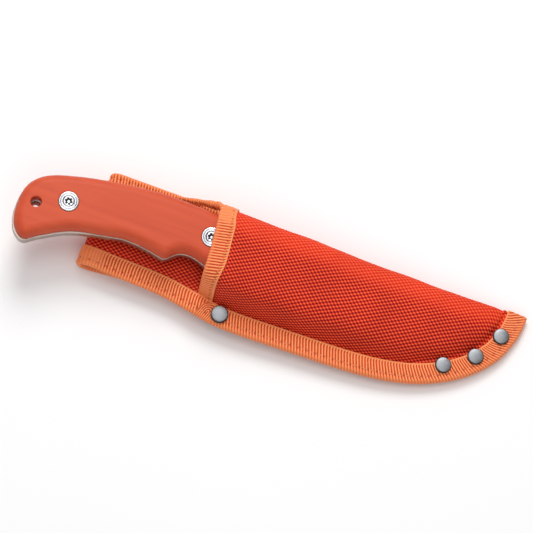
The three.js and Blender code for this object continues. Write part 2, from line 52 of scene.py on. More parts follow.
# =====================================================================
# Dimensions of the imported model, in millimetres in the sheath's own frame:
# x towards the tip, y towards the folded side, z = 0 on the back of the back panel.
# =====================================================================
CLOTH, TAPE, TAPE_W, GAP = 1.2, 0.65, 9.7, 0.06
FOLD_X, LOOP_R, LAY_SLOPE, LOOP_END_X = -81.5, 4.2, 0.0425, -24.0
EXT_TOP, EXT_LOW, MOUTH_X = 20.8, -28.3, -26.8
KNIFE_X0, KNIFE_Z0, KNIFE_SLOPE = -20.0, 10.3, 0.0528
STEEL_T, HANDLE_T = 4.2, 16.0
SCREWS = [(-99.0, -7.6), (-29.2, 1.2)]
LANYARD, LANYARD_R = (-113.4, -13.4), 2.6
RIVETS = [("mouth_rivet", -13.0, -29.3, 4.0), ("belly_rivet_1", 95.7, -14.6, 3.7),
          ("belly_rivet_2", 108.8, -5.1, 3.7), ("belly_rivet_3", 117.0, 8.6, 3.7)]
LAY = math.atan(LAY_SLOPE)
BETA = math.atan(KNIFE_SLOPE)
SHIFT = np.array([-2.0462913513183594, 5.856914520263672, 6.805356979370117])
BELLY = [[-81.5, -28.3], [-70, -28.3], [-58.9, -28.5], [-48.6, -28.9], [-43.2, -29.3], [-37.9, -30], [-32.3, -31],
         [-26.7, -32.2], [-21.3, -33.3], [-14, -34.3], [-5.5, -34.6], [4.8, -34.5], [14.8, -34.2], [24.9, -33.9], [35, -33.6],
         [45.2, -33.3], [55.1, -32.7], [65, -31.8], [74.5, -30.2], [83.9, -27.8], [92.8, -24.3], [101.4, -19.7],
         [109.5, -13.9], [116.4, -6.8], [120.3, -1.1], [123, 5.4], [124.7, 10.9], [125.5, 16], [125.8, 22.2]]
HANDLE = [[-13.5, 14.0], [-20, 14.2], [-30, 14.3], [-40, 14.5], [-48, 14.6], [-56.9, 14.4], [-62.3, 13.9],
          [-66.7, 13.3], [-71.5, 12.7], [-76, 12.1], [-82, 11.0], [-88, 9.9], [-95, 8.3], [-101.5, 6.5], [-106.7, 4.9],
          [-111.9, 2.8], [-116.2, 0.0], [-119.4, -3.5], [-121.3, -7.5], [-122.2, -12.2], [-122.3, -16.8],
          [-122.1, -20.6], [-121.3, -24.4], [-119.8, -27.8], [-117.7, -30.4], [-115.4, -32.0], [-113.4, -32.4],
          [-111.7, -31.9], [-109.6, -30.3], [-107.2, -28.5], [-103.8, -26.3], [-100, -23.9], [-95.7, -21.6],
          [-90.4, -19.5], [-85.2, -18.0], [-80, -16.7], [-74.5, -15.5], [-69, -14.4], [-63.5, -14.3], [-58.5, -14.7],
          [-54, -15.3], [-50.2, -16.0], [-47.6, -16.3], [-45.7, -15.3], [-44.1, -13.7], [-42.4, -12.1], [-40.3, -10.9],
          [-37.9, -10.3], [-35.2, -10.3], [-32, -10.9], [-29, -11.8], [-26, -12.8], [-23, -13.9], [-20, -14.9],
          [-17, -15.5], [-14.2, -15.3], [-12.8, -13.4], [-12.3, -9], [-12.6, -3], [-13.2, 4], [-13.6, 10]]
BLADE = [[-6.1, 13.7, -16.3, 4.2], [-2, 13.7, -16.8, 4.2], [10, 13.7, -17.2, 4.2], [25, 13.7, -17.4, 4.2],
         [40, 13.7, -17.1, 4.2], [52, 13.7, -16.5, 4.2], [62, 13.7, -15.4, 4.0], [71, 13.6, -13.5, 3.7],
         [79, 13.5, -11.2, 3.4], [86, 13.4, -8.0, 3.0], [92, 13.2, -4.4, 2.7], [97, 13.0, -0.6, 2.4],
         [101, 12.8, 3.2, 2.1], [104, 12.6, 7.0, 1.9], [106, 12.4, 10.4, 1.7], [106.6, 12.3, 11.7, 1.6]]
CROWN = [[-30, 21.6], [-17.8, 21.0], [-11, 20.4], [0, 19.1], [20, 17.0], [40, 15.0], [60, 13.1], [80, 11.2],
         [95, 9.5], [104, 8.0], [109, 6.6], [112.5, 4.8], [115, 3.3], [118, 2.62], [121, 2.46], [126, 2.46]]
SPINE_LOW = [[-30, 20.4], [0, 19.9], [40, 20.0], [80, 20.3], [104, 20.8], [115, 21.2], [126, 20.9]]
SPINE_RAISE = [[-30, 1.0], [-20, 1.3], [30, 1.1], [44, 0.5], [92, 0.5], [104, 1.0], [109, 0.9], [114, 0.3], [120, 0.15], [126, 0.15]]
SPINE_LEAN = [[-30, 1.5], [0, 1.6], [40, 1.2], [80, 0.9], [104, 0.5], [115, 0.2], [126, 0.1]]
MOUTH_SECTION = np.array([[0, 0], [0.024, 0.18], [0.055, 0.42], [0.092, 0.66], [0.138, 0.84], [0.202, 0.94],
                          [0.292, 0.985], [0.443, 1], [0.64, 1], [0.805, 0.985], [0.895, 0.93], [0.95, 0.81],
                          [0.985, 0.62], [1, 0.28]])
TIP_SECTION = np.array([[0, 0], [0.05, 0.21], [0.1, 0.41], [0.16, 0.60], [0.22, 0.74], [0.30, 0.87], [0.42, 0.96],
                        [0.56, 1], [0.70, 0.985], [0.82, 0.92], [0.90, 0.80], [0.955, 0.62], [0.985, 0.42], [1, 0.2]])


def lerp(a, b, t):
    return a + (b - a) * t


def smooth(a, b, x):
    t = np.clip((np.asarray(x, float) - a) / (b - a), 0, 1)
    return t * t * (3 - 2 * t)


def table(pts, x):
    pts = np.asarray(pts, float)
    return np.interp(x, pts[:, 0], pts[:, 1])


def flow(pts, x):
    """Smooth monotone curve through a table."""
    pts = np.asarray(pts, float)
    xs, ys = pts[:, 0], pts[:, 1]
    d = np.diff(ys) / np.diff(xs)
    m = np.concatenate([[d[0]], np.where(d[:-1] * d[1:] > 0, 2 * d[:-1] * d[1:] / (d[:-1] + d[1:] + 1e-12), 0), [d[-1]]])
    x = np.clip(np.asarray(x, float), xs[0], xs[-1])
    i = np.clip(np.searchsorted(xs, x) - 1, 0, len(xs) - 2)
    h = xs[i + 1] - xs[i]
    t = (x - xs[i]) / h
    return ((1 + 2 * t) * (1 - t) ** 2 * ys[i] + t * (1 - t) ** 2 * h * m[i]
            + t * t * (3 - 2 * t) * ys[i + 1] + t * t * (t - 1) * h * m[i + 1])


def spline(points, n, closed=False, per=24):
    """Even points along a centripetal curve through the given ones, any dimension."""
    p = np.asarray(points, float)
    if closed:
        p = np.vstack([p[-1], p, p[0], p[1]])
    else:
        p = np.vstack([2 * p[0] - p[1], p, 2 * p[-1] - p[-2]])
    out = []
    for i in range(1, len(p) - 2):
        p0, p1, p2, p3 = p[i - 1:i + 3]
        t0 = 0.0
        t1 = t0 + max(np.linalg.norm(p1 - p0), 1e-9) ** 0.5
        t2 = t1 + max(np.linalg.norm(p2 - p1), 1e-9) ** 0.5
        t3 = t2 + max(np.linalg.norm(p3 - p2), 1e-9) ** 0.5
        t = np.linspace(t1, t2, per, endpoint=False)[:, None]
        a1 = (t1 - t) / (t1 - t0) * p0 + (t - t0) / (t1 - t0) * p1
        a2 = (t2 - t) / (t2 - t1) * p1 + (t - t1) / (t2 - t1) * p2
        a3 = (t3 - t) / (t3 - t2) * p2 + (t - t2) / (t3 - t2) * p3
        b1 = (t2 - t) / (t2 - t0) * a1 + (t - t0) / (t2 - t0) * a2
        b2 = (t3 - t) / (t3 - t1) * a2 + (t - t1) / (t3 - t1) * a3
        out.append((t2 - t) / (t2 - t1) * b1 + (t - t1) / (t2 - t1) * b2)
    out.append((p[1] if closed else p[-2])[None, :])
    return resample(np.vstack(out), n, closed)


def lengths(p):
    return np.concatenate([[0], np.cumsum(np.linalg.norm(np.diff(p, axis=0), axis=1))])


def resample(p, n, closed=False):
    s = lengths(p)
    q = np.linspace(0, s[-1], n, endpoint=not closed)
    return np.stack([np.interp(q, s, p[:, k]) for k in range(p.shape[1])], 1)


def along(p, q):
    s = lengths(p)
    return np.stack([np.interp(q, s, p[:, k]) for k in range(p.shape[1])], -1)


def left(p, closed=False):
    if closed:
        d = np.roll(p, -1, 0) - np.roll(p, 1, 0)
    else:
        d = np.gradient(p, axis=0)
    d /= np.linalg.norm(d, axis=1)[:, None]
    return np.stack([-d[:, 1], d[:, 0]], 1)


def world(P):
    """Sheath frame in millimetres to the row frame in metres."""
    P = np.asarray(P, float)
    c, s = math.cos(LAY), math.sin(LAY)
    return np.stack([P[..., 0] * c + P[..., 2] * s, P[..., 1], -P[..., 0] * s + P[..., 2] * c], -1) * 0.001 + SHIFT * 0.001


def from_knife(P):
    P = np.asarray(P, float)
    c, s = math.cos(BETA), math.sin(BETA)
    u, w = P[..., 0] - KNIFE_X0, P[..., 2]
    return world(np.stack([KNIFE_X0 + u * c + w * s, P[..., 1], KNIFE_Z0 - u * s + w * c], -1))


# =====================================================================
# Camera
# =====================================================================
def camera():
    a, th, psi, dist, mmpx = math.radians(20.6), math.radians(17.0), math.radians(8.0), 1600.0, 0.48
    r0, u0, d0 = np.array([math.cos(a), math.sin(a), 0]), np.array([-math.sin(a), math.cos(a), 0]), np.array([0, 0, 1.0])
    e = -math.cos(psi) * u0 - math.sin(psi) * r0
    R = np.array(Matrix.Rotation(th, 3, Vector(np.cross(d0, e))))
    r, u, d = R @ r0, R @ u0, R @ d0
    C = np.array([0, 0, 8.0]) + dist * d
    c, s = math.cos(LAY), math.sin(LAY)
    turn = np.array([[c, 0, s], [0, 1, 0], [-s, 0, c]])
    M = Matrix.Identity(4)
    for k, v in enumerate((turn @ r, turn @ u, turn @ d, world(C))):
        for i in range(3):
            M[i][k] = v[i]
    cam = bpy.data.cameras.new("camera")
    cam.sensor_fit, cam.sensor_width = "HORIZONTAL", 36.0
    cam.lens = 36.0 * (dist / mmpx) / 533.0
    cam.clip_start, cam.clip_end = 0.05, 20.0
    ob = bpy.data.objects.new("camera", cam)
    ob.matrix_world = M
    bpy.context.collection.objects.link(ob)
    bpy.context.scene.camera = ob
    return r, u, d


cam_axes = camera()


# =====================================================================
# Node helpers
# =====================================================================
class Mat:
    def __init__(self, name, rough=0.5, metal=0.0):
        self.m = bpy.data.materials.new(name)
        self.m.use_nodes = True
        self.t = self.m.node_tree
        self.t.nodes.clear()
        out = self.t.nodes.new("ShaderNodeOutputMaterial")
        self.b = self.t.nodes.new("ShaderNodeBsdfPrincipled")
        self.t.links.new(self.b.outputs["BSDF"], out.inputs["Surface"])
        self.b.inputs["Roughness"].default_value = rough
        self.b.inputs["Metallic"].default_value = metal

    def put(self, name, value):
        if hasattr(value, "is_output"):
            self.t.links.new(value, self.b.inputs[name])
        else:
            self.b.inputs[name].default_value = value

    def _in(self, socket, value):
        if value is None:
            return
        if hasattr(value, "is_output"):
            self.t.links.new(value, socket)
        else:
            socket.default_value = value

    def math(self, op, a, b=None, c=None, clamp=False):
        n = self.t.nodes.new("ShaderNodeMath")
        n.operation, n.use_clamp = op, clamp
        for k, v in enumerate((a, b, c)):
            self._in(n.inputs[k], v)
        return n.outputs[0]

    def add(self, a, b): return self.math("ADD", a, b)
    def mul(self, a, b): return self.math("MULTIPLY", a, b)
    def cos(self, a): return self.math("COSINE", a)

    def range(self, v, a, b, c=0.0, d=1.0):
        n = self.t.nodes.new("ShaderNodeMapRange")
        n.interpolation_type = "SMOOTHSTEP"
        for k, x in enumerate((v, a, b, c, d)):
            self._in(n.inputs[k], x)
        return n.outputs[0]

    def attr(self, name):
        n = self.t.nodes.new("ShaderNodeAttribute")
        n.attribute_name = name
        s = self.t.nodes.new("ShaderNodeSeparateXYZ")
        self.t.links.new(n.outputs["Vector"], s.inputs[0])
        return n.outputs["Vector"], s.outputs[0], s.outputs[1], s.outputs[2]

    def obj(self):
        n = self.t.nodes.new("ShaderNodeTexCoord")
        return n.outputs["Object"]

    def scaled(self, vec, scale, rot=(0, 0, 0)):
        n = self.t.nodes.new("ShaderNodeMapping")
        self._in(n.inputs["Vector"], vec)
        n.inputs["Scale"].default_value = scale
        n.inputs["Rotation"].default_value = rot
        return n.outputs[0]

    def noise(self, vec, scale, detail=2.0, rough=0.5, dist=0.0):
        n = self.t.nodes.new("ShaderNodeTexNoise")
        self._in(n.inputs["Vector"], vec)
        n.inputs["Scale"].default_value = scale
        n.inputs["Detail"].default_value = detail
        n.inputs["Roughness"].default_value = rough
        n.inputs["Distortion"].default_value = dist
        return n.outputs[0]

    def ramp(self, fac, stops):
        n = self.t.nodes.new("ShaderNodeValToRGB")
        r = n.color_ramp
        while len(r.elements) < len(stops):
            r.elements.new(0.5)
        for el, (p, c) in zip(r.elements, stops):
            el.position, el.color = p, (*c, 1.0)
        self._in(n.inputs[0], fac)
        return n.outputs[0]

    def mix(self, fac, a, b, kind="MIX"):
        n = self.t.nodes.new("ShaderNodeMix")
        n.data_type, n.blend_type = "RGBA", kind
        self._in(n.inputs[0], fac)
        self._in(n.inputs[6], (*a, 1.0) if isinstance(a, tuple) else a)
        self._in(n.inputs[7], (*b, 1.0) if isinstance(b, tuple) else b)
        return n.outputs[2]

    def bump(self, height, strength, distance, normal=None):
        n = self.t.nodes.new("ShaderNodeBump")
        n.inputs["Strength"].default_value = strength
        n.inputs["Distance"].default_value = distance
        self._in(n.inputs["Height"], height)
        self._in(n.inputs["Normal"], normal)
        return n.outputs[0]


def srgb(r, g, b):
    f = lambda v: v / 12.92 if v <= 0.04045 else ((v + 0.055) / 1.055) ** 2.4
    return tuple(f(v / 255) for v in (r, g, b))


# ---- woven nylon: a coarse plain weave, its yarns 1.33 and 1.0 mm apart --------------
WEAVE_X, WEAVE_S, WEAVE_TURN = 1.33, 1.0, math.radians(3.5)


def weave(x, s):
    c, t = math.cos(WEAVE_TURN), math.sin(WEAVE_TURN)
    return np.cos(PI * (x * c + s * t) / WEAVE_X) * np.cos(PI * (-x * t + s * c) / WEAVE_S)


def cloth_material():
    m = Mat("woven_nylon")
    vec, x, s, yarn_rise_and_crown_light = m.attr("weave")             # where in the weave, how far its yarns stand up, and how much the cloth is painted lighter as a painted highlight on the crown
    c, t = math.cos(WEAVE_TURN), math.sin(WEAVE_TURN)
    X = m.add(m.mul(x, c * PI / WEAVE_X), m.mul(s, t * PI / WEAVE_X))
    Y = m.add(m.mul(x, -t * PI / WEAVE_S), m.mul(s, c * PI / WEAVE_S))
    lobe = m.mul(m.cos(X), m.cos(Y))
    wide = m.noise(vec, 0.045, 3.0)
    yarn = m.noise(m.scaled(vec, (1.5, 0.12, 1.0)), 1.0, 2.0)
    yarn2 = m.noise(m.scaled(vec, (0.1, 2.0, 1.0)), 1.0, 2.0)
    fleck = m.noise(vec, 2.6, 3.0, 0.6)
    # filaments run along whichever yarn is on top
    fil_a = m.cos(m.add(m.mul(x, 2 * PI / 0.24), m.mul(yarn, 9.0)))
    fil_b = m.cos(m.add(m.mul(s, 2 * PI / 0.22), m.mul(yarn2, 9.0)))
    up = m.range(lobe, -0.15, 0.15)
    fil = m.add(m.mul(fil_a, up), m.mul(fil_b, m.math("SUBTRACT", 1.0, up)))
    # where the yarns lie flat over the spine this offset lifts the whole level: a painted highlight on the crown
    level = m.add(m.mul(m.mul(lobe, yarn_rise_and_crown_light), 0.72), m.add(m.mul(yarn_rise_and_crown_light, -0.34), 0.84))
    level = m.add(level, m.mul(m.add(fleck, -0.5), 0.3))
    level = m.add(level, m.mul(fil, 0.035))
    # the ramp darkens the weave's hollows and lightens its raised yarns, because level follows the bump: painted shade
    # and painted highlight
    colour = m.ramp(level, [(0.0, srgb(126, 0, 0)), (0.25, srgb(170, 9, 2)), (0.5, srgb(214, 34, 9)), (0.75, srgb(242, 66, 30)),
                            (1.0, srgb(255, 112, 66))])
    tone = m.ramp(wide, [(0.3, srgb(236, 226, 222)), (0.7, srgb(255, 255, 255))])
    m.put("Base Color", m.mix(1.0, colour, tone, "MULTIPLY"))
    m.put("Roughness", m.range(fleck, 0.25, 0.75, 0.58, 0.82))
    h1 = m.add(m.mul(m.mul(lobe, yarn_rise_and_crown_light), 0.5), m.mul(fil, 0.09))
    n1 = m.bump(h1, 0.55, 0.00022)
    m.put("Normal", m.bump(m.noise(vec, 9.0, 2.0, 0.7), 0.18, 0.00008, n1))
    m.b.inputs["Sheen Weight"].default_value = 0.08
    m.b.inputs["Sheen Roughness"].default_value = 0.35
    m.b.inputs["Sheen Tint"].default_value = (*srgb(255, 120, 80), 1)
    m.b.inputs["Specular IOR Level"].default_value = 0.24
    return m.m


RIB = 1.5


def tape_material():
    m = Mat("ribbed_tape")
    vec, s, a, ph = m.attr("tape")           # along, across from the selvedge, slanted rib phase
    _, stitch_hole_shade, fold, calm = m.attr("tapeinfo")   # 1 at the needle holes of the stitch line, where the tape is painted darker as painted shade; 1 on the fold; 1 where the ribs are drawn flat
    wob = m.noise(vec, 0.5, 2.0)
    lobe = m.cos(m.add(m.mul(ph, 2 * PI / RIB), m.mul(m.add(wob, -0.5), 1.1)))
    bead = m.cos(m.add(m.mul(a, 2 * PI / 0.62), m.mul(ph, PI / RIB)))
    fleck = m.noise(vec, 2.4, 3.0, 0.6)
    level = m.add(m.mul(lobe, 0.4), 0.5)
    level = m.add(level, m.mul(bead, 0.07))
    level = m.add(level, m.mul(m.add(fleck, -0.5), 0.36))
    # the colour follows the ribs' bump: grooves painted darker and crests lighter, painted shade and painted highlight
    ribs = m.ramp(level, [(0.05, srgb(186, 46, 18)), (0.36, srgb(218, 80, 38)), (0.62, srgb(245, 128, 72)), (0.95, srgb(255, 178, 112))])
    plain = m.ramp(m.add(m.mul(level, 0.3), 0.35), [(0.1, srgb(222, 104, 56)), (0.5, srgb(245, 136, 80)), (0.9, srgb(255, 160, 104))])
    colour = m.mix(m.math("MAXIMUM", m.mul(fold, 0.7), m.mul(calm, 1.0)), ribs, plain)
    selv = m.range(a, 1.05, 0.55)
    edge = m.ramp(m.add(m.mul(m.cos(m.mul(s, 2 * PI / 0.9)), 0.35), 0.5), [(0.0, srgb(240, 132, 74)), (1.0, srgb(255, 170, 108))])
    colour = m.mix(m.mul(selv, 0.85), colour, edge)
    # needle holes painted dark red: painted shade in the holes
    colour = m.mix(m.mul(stitch_hole_shade, 0.9), colour, srgb(138, 34, 10))
    m.put("Base Color", colour)
    m.put("Roughness", m.range(fleck, 0.25, 0.75, 0.6, 0.85))
    h = m.add(m.mul(m.mul(lobe, m.add(m.mul(calm, -0.85), 1.0)), 0.5), m.mul(bead, 0.12))
    n1 = m.bump(h, 0.4, 0.00016)
    m.put("Normal", m.bump(m.noise(vec, 8.0, 2.0, 0.7), 0.2, 0.00008, n1))
    m.b.inputs["Sheen Weight"].default_value = 0.08
    m.b.inputs["Sheen Roughness"].default_value = 0.4
    m.b.inputs["Sheen Tint"].default_value = (*srgb(255, 190, 150), 1)
    m.b.inputs["Specular IOR Level"].default_value = 0.4
    return m.m


def thread_material():
    m = Mat("sewing_thread")
    p = m.obj()
    f = m.noise(p, 1400.0, 2.0, 0.6)
    m.put("Base Color", m.ramp(f, [(0.3, srgb(214, 104, 60)), (0.7, srgb(246, 156, 104))]))
    m.put("Roughness", m.range(f, 0.3, 0.7, 0.5, 0.75))
    m.put("Normal", m.bump(m.noise(p, 3200.0, 1.0), 0.4, 0.00006))
    m.b.inputs["Sheen Weight"].default_value = 0.15
    return m.m


def scale_material():
    m = Mat("moulded_polymer")
    p = m.obj()
    streak = m.noise(m.scaled(p, (14.0, 260.0, 90.0), (0, 0, math.radians(-4))), 1.0, 3.0, 0.55)
    cloud = m.noise(p, 28.0, 2.0)
    grain = m.noise(p, 2600.0, 2.0, 0.6)
    c = m.ramp(m.add(m.mul(streak, 0.75), m.mul(cloud, 0.25)),
               [(0.3, srgb(196, 72, 40)), (0.5, srgb(205, 80, 47)), (0.7, srgb(212, 89, 55))])
    m.put("Base Color", c)
    m.put("Roughness", m.range(m.add(m.mul(grain, 0.6), m.mul(streak, 0.4)), 0.3, 0.7, 0.44, 0.62))
    n1 = m.bump(grain, 0.22, 0.00009)
    m.put("Normal", m.bump(streak, 0.12, 0.0001, n1))
    m.b.inputs["Specular IOR Level"].default_value = 0.27
    m.b.inputs["Subsurface Weight"].default_value = 0.0
    return m.m


def metal_material(name, lo, hi, r0, r1, stretch, strength=0.12, turned=False):
    m = Mat(name, metal=1.0)
    p = m.obj()
    brush = m.noise(m.scaled(p, stretch), 1.0, 4.0, 0.6)
    blot = m.noise(p, 160.0, 3.0, 0.55)
    m.put("Base Color", m.ramp(m.add(m.mul(brush, 0.6), m.mul(blot, 0.4)), [(0.3, lo), (0.7, hi)]))
    m.put("Roughness", m.range(m.add(m.mul(brush, 0.5), m.mul(blot, 0.5)), 0.3, 0.7, r0, r1))
    m.put("Normal", m.bump(brush, strength, 0.00005))
    return m.m


# near black: the black ring at the foot of each rivet cap, also standing for the shade under the cap's rim, and painted
# shade in the screws' star recesses
def dark_material():
    m = Mat("black_ring_and_painted_shade")
    p = m.obj()
    f = m.noise(p, 900.0, 2.0)
    m.put("Base Color", m.ramp(f, [(0.3, srgb(10, 9, 9)), (0.7, srgb(26, 24, 24))]))
    m.put("Roughness", m.range(f, 0.3, 0.7, 0.45, 0.65))
    m.put("Normal", m.bump(f, 0.2, 0.00005))
    return m.m


def liner_material():
    m = Mat("liner_polymer")
    p = m.obj()
    f = m.noise(p, 700.0, 3.0, 0.6)
    g = m.noise(m.scaled(p, (20.0, 400.0, 400.0)), 1.0, 2.0)
    m.put("Base Color", m.ramp(m.add(m.mul(f, 0.5), m.mul(g, 0.5)), [(0.3, srgb(22, 22, 24)), (0.7, srgb(44, 43, 45))]))
    m.put("Roughness", m.range(f, 0.3, 0.7, 0.38, 0.6))
    m.put("Normal", m.bump(f, 0.3, 0.00008))
    return m.m


CLOTH_MAT, TAPE_MAT, THREAD_MAT, SCALE_MAT = cloth_material(), tape_material(), thread_material(), scale_material()
RIVET_MAT = metal_material("satin_nickel", srgb(114, 116, 120), srgb(148, 150, 153), 0.36, 0.48, (300, 2600, 900), 0.1)
STEEL_MAT = metal_material("satin_steel", srgb(146, 134, 127), srgb(188, 175, 166), 0.28, 0.44, (40, 2600, 2600), 0.18)
BRIGHT_MAT = metal_material("turned_steel", srgb(160, 162, 166), srgb(192, 194, 197), 0.22, 0.34, (900, 900, 900), 0.05)
DARK_MAT, LINER_MAT = dark_material(), liner_material()


# =====================================================================
# Mesh helpers
# =====================================================================
def piece(name, V, faces, mats, body, replaces=(), attrs=None, place=world, mat_index=None, smooth=True, sharp=None):
    me = bpy.data.meshes.new(name)
    W = place(np.asarray(V, float))
    W[:, 2] = np.maximum(W[:, 2], 2e-5)              # what lies on the ground is pressed flat by it
    F = [list(map(int, f)) for f in faces] if not isinstance(faces, np.ndarray) else faces.tolist()
    me.from_pydata(W.tolist(), [], F)
    for key, val in (attrs or {}).items():
        at = me.attributes.new(key, "FLOAT_VECTOR", "POINT")
        at.data.foreach_set("vector", np.asarray(val, np.float32).ravel())
    for mt in (mats if isinstance(mats, (list, tuple)) else [mats]):
        me.materials.append(mt)
    if mat_index is not None:
        me.polygons.foreach_set("material_index", np.asarray(mat_index, np.int32))
    if smooth:
        me.polygons.foreach_set("use_smooth", np.ones(len(me.polygons), bool))
    me.update()
    if sharp is not None:
        me.set_sharp_from_angle(angle=math.radians(sharp))
    ob = bpy.data.objects.new(name, me)
    bpy.context.collection.objects.link(ob)
    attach(ob, body)
    if replaces:
        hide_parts(*replaces)
    return ob


def volume(V, F):
    F = np.asarray(F)
    a, b, c = V[F[:, 0]], V[F[:, 1]], V[F[:, 2]]
    v = np.einsum("ij,ij->i", a, np.cross(b, c)).sum()
    if F.shape[1] == 4:
        d = V[F[:, 3]]
        v += np.einsum("ij,ij->i", a, np.cross(c, d)).sum()
    return v


def slab(O, I, keep, attrs):
    """Closed solid between two grids of points; cells outside keep are left out."""
    n, m = O.shape[:2]
    idx = np.arange(n * m).reshape(n, m)
    off = n * m
    q = np.stack([idx[:-1, :-1], idx[1:, :-1], idx[1:, 1:], idx[:-1, 1:]], -1)[keep]
    parts = [q, q[:, ::-1] + off]
    K = np.pad(keep, 1)
    a, b = idx[:, :-1], idx[:, 1:]
    above, below = K[:-1, 1:-1], K[1:, 1:-1]
    e = below & ~above
    parts.append(np.stack([a[e], b[e], b[e] + off, a[e] + off], -1))
    e = above & ~below
    parts.append(np.stack([b[e], a[e], a[e] + off, b[e] + off], -1))
    a, b = idx[:-1, :], idx[1:, :]
    before, after = K[1:-1, :-1], K[1:-1, 1:]
    e = after & ~before
    parts.append(np.stack([b[e], a[e], a[e] + off, b[e] + off], -1))
    e = before & ~after
    parts.append(np.stack([a[e], b[e], b[e] + off, a[e] + off], -1))
    F = np.vstack(parts)
    V = np.vstack([O.reshape(-1, 3), I.reshape(-1, 3)])
    used = np.zeros(len(V), bool)
    used[F.ravel()] = True
    new = np.cumsum(used) - 1
    F = new[F]
    out = {k: np.vstack([v.reshape(-1, 3)] * 2)[used] for k, v in attrs.items()}
    V = V[used]
    if volume(V, F) < 0:
        F = F[:, ::-1]
    return V, F, out


def grid_normals(P):
    du, dv = np.gradient(P, axis=0), np.gradient(P, axis=1)
    n = np.cross(du, dv)
    return n / (np.linalg.norm(n, axis=-1)[..., None] + 1e-12)


# =====================================================================
# Sheath shape
# =====================================================================
belly_line = spline(BELLY, 900)
belly_in = left(belly_line)
belly_line = belly_line - belly_in * (0.5 * smooth(0, 14, lengths(belly_line)) * (1 - 0.9 * smooth(98, 122, belly_line[:, 0])))[:, None]      # the tape puffs out past the cloth


def rise_at(x):
    return TAPE_W + 0.4 + 1.3 * smooth(78, 90, x)


inner_line = belly_line + belly_in * rise_at(belly_line[:, 0])[:, None]
order = np.maximum.accumulate(inner_line[:, 0])
inner_x = order + np.arange(len(order)) * 1e-7


def y_inner(x):
    return np.interp(x, inner_x, inner_line[:, 1])


cloth_edge = belly_line + belly_in * (TAPE + 0.25)
BASE = 2 * CLOTH + GAP


def spine_low(x):
    return flow(SPINE_LOW, x) + flow(SPINE_RAISE, x)


def section_at(x, per=10):
    """Outer line of the pocket section at x as (y, z), from the belly edge over the crown down to the fold's foot."""
    m = float(table([[0, 1], [60, 0.55], [90, 0.3], [110, 0]], x))
    T = lerp(TIP_SECTION, MOUTH_SECTION, m)
    crown, low, lean = float(flow(CROWN, x)), float(spine_low(x)), float(flow(SPINE_LEAN, x))
    swell = 0.55 * float(smooth(-12, 25, x) * (1 - smooth(88, 108, x)))
    crown += swell * 0.8
    lean = max(0.05, lean - swell)
    y0, y1 = float(y_inner(x)), low - lean
    y0 = min(y0, y1 - 0.3)
    edge = float(np.interp(x, cloth_edge[:, 0], cloth_edge[:, 1]))
    pts = np.stack([lerp(y0, y1, T[:, 0]), BASE + (crown - BASE) * T[:, 1]], 1)
    foot = np.array([low, 0.0])
    d = foot - pts[-1]
    L = np.linalg.norm(d)
    A = foot - d / L * min(1.7, 0.6 * L)
    B = np.array([low - 1.7, 0.0])
    t = np.linspace(0, 1, 9)[:, None]
    corner = (1 - t) ** 2 * A + 2 * t * (1 - t) * foot + t * t * B
    lead = np.array([[y0 - 3.0, BASE], [y0 - 1.0, BASE]]) if y0 - 3.0 > edge + 0.2 else np.array([[max(edge + 0.15, y0 - 1.0), BASE]])
    body = spline(np.vstack([lead, pts]), 260, per=per)
    start = np.array([[min(edge, body[0, 0] - 0.02), BASE]])
    return np.vstack([start, body, corner[0:]]), edge


def mouth_lean(y):
    y = np.minimum(y, 13.5)
    return 0.5 + 0.9 * (1 - smooth(-16, 2, y)) - 1.9 * np.maximum(0, (y + 5) / 17.5) ** 1.4


def front_cloth():
    dx, ds = 0.38, 0.38
    x0, x1 = MOUTH_X + 0.45, 125.0
    xs = np.arange(x0, x1, dx)
    lines, total = [], []
    for x in xs:
        p, _ = section_at(x)
        p = p[::-1]                                   # from the fold's foot over the crown to the belly edge
        lines.append(p)
        total.append(lengths(p)[-1])
    total = np.array(total)
    m = int(total.max() / ds) + 2
    s = np.arange(m) * ds
    P = np.zeros((len(xs), m, 3))
    for i, x in enumerate(xs):
        q = np.minimum(s, total[i])
        yz = along(lines[i], q)
        P[i, :, 0], P[i, :, 1], P[i, :, 2] = x, yz[:, 0], yz[:, 1]
    P[..., 0] += mouth_lean(P[..., 1]) * (1 - smooth(-17, 14, P[..., 0]))
    keep = (s[None, :-1] < np.minimum(total[:-1], total[1:])[:, None] - 0.06)
    # normals from an unclamped copy
    Pn = P.copy()
    for i in range(len(xs)):
        over = s > total[i]
        Pn[i, over, 1] -= (s[over] - total[i])
    N = grid_normals(Pn)
    if N[len(xs) // 2, m // 2, 2] < 0:
        N = -N
    w = np.stack([np.broadcast_to(xs[:, None], P.shape[:2]), np.broadcast_to(s[None], P.shape[:2]), np.zeros(P.shape[:2])], -1)
    left_over = total[:, None] - s[None]
    fade = 0.25 + 0.75 * smooth(8.3, 10.0, left_over)
    # gentle slack in the cloth between the fold and the binding
    X, S = w[..., 0], w[..., 1]
    slack = (0.16 * np.sin(X / 9.0 + 0.8 * np.sin(S / 11.0)) * np.sin(S / 8.0 + 0.4) + 0.10 * np.sin(X / 4.3 - S / 6.1)) \
        * smooth(9.5, 16, left_over) * smooth(1.5, 8, s)[None]
    # stretched over the spine the weave lies flatter than on the slope below it; in the cloth's shader the same value
    # also paints the crown lighter, a painted highlight
    wall = np.array([float(flow(CROWN, x)) for x in xs])[:, None]
    yarn_rise_and_crown_light = 0.42 + 0.58 * smooth(0, 10, S - wall - 4.0)
    w[..., 2] = yarn_rise_and_crown_light
    h = weave(X, S) * yarn_rise_and_crown_light
    O = P + N * (slack + 0.21 * h * fade)[..., None]
    I = P + N * (slack - CLOTH - 0.05 * h * fade)[..., None]
    V, F, at = slab(O, I, keep, {"weave": w})
    return piece("sheath_front_cloth", V, F, CLOTH_MAT, "sheath", ["sheath_front_panel"], at), total, xs


front, front_total, front_xs = front_cloth()


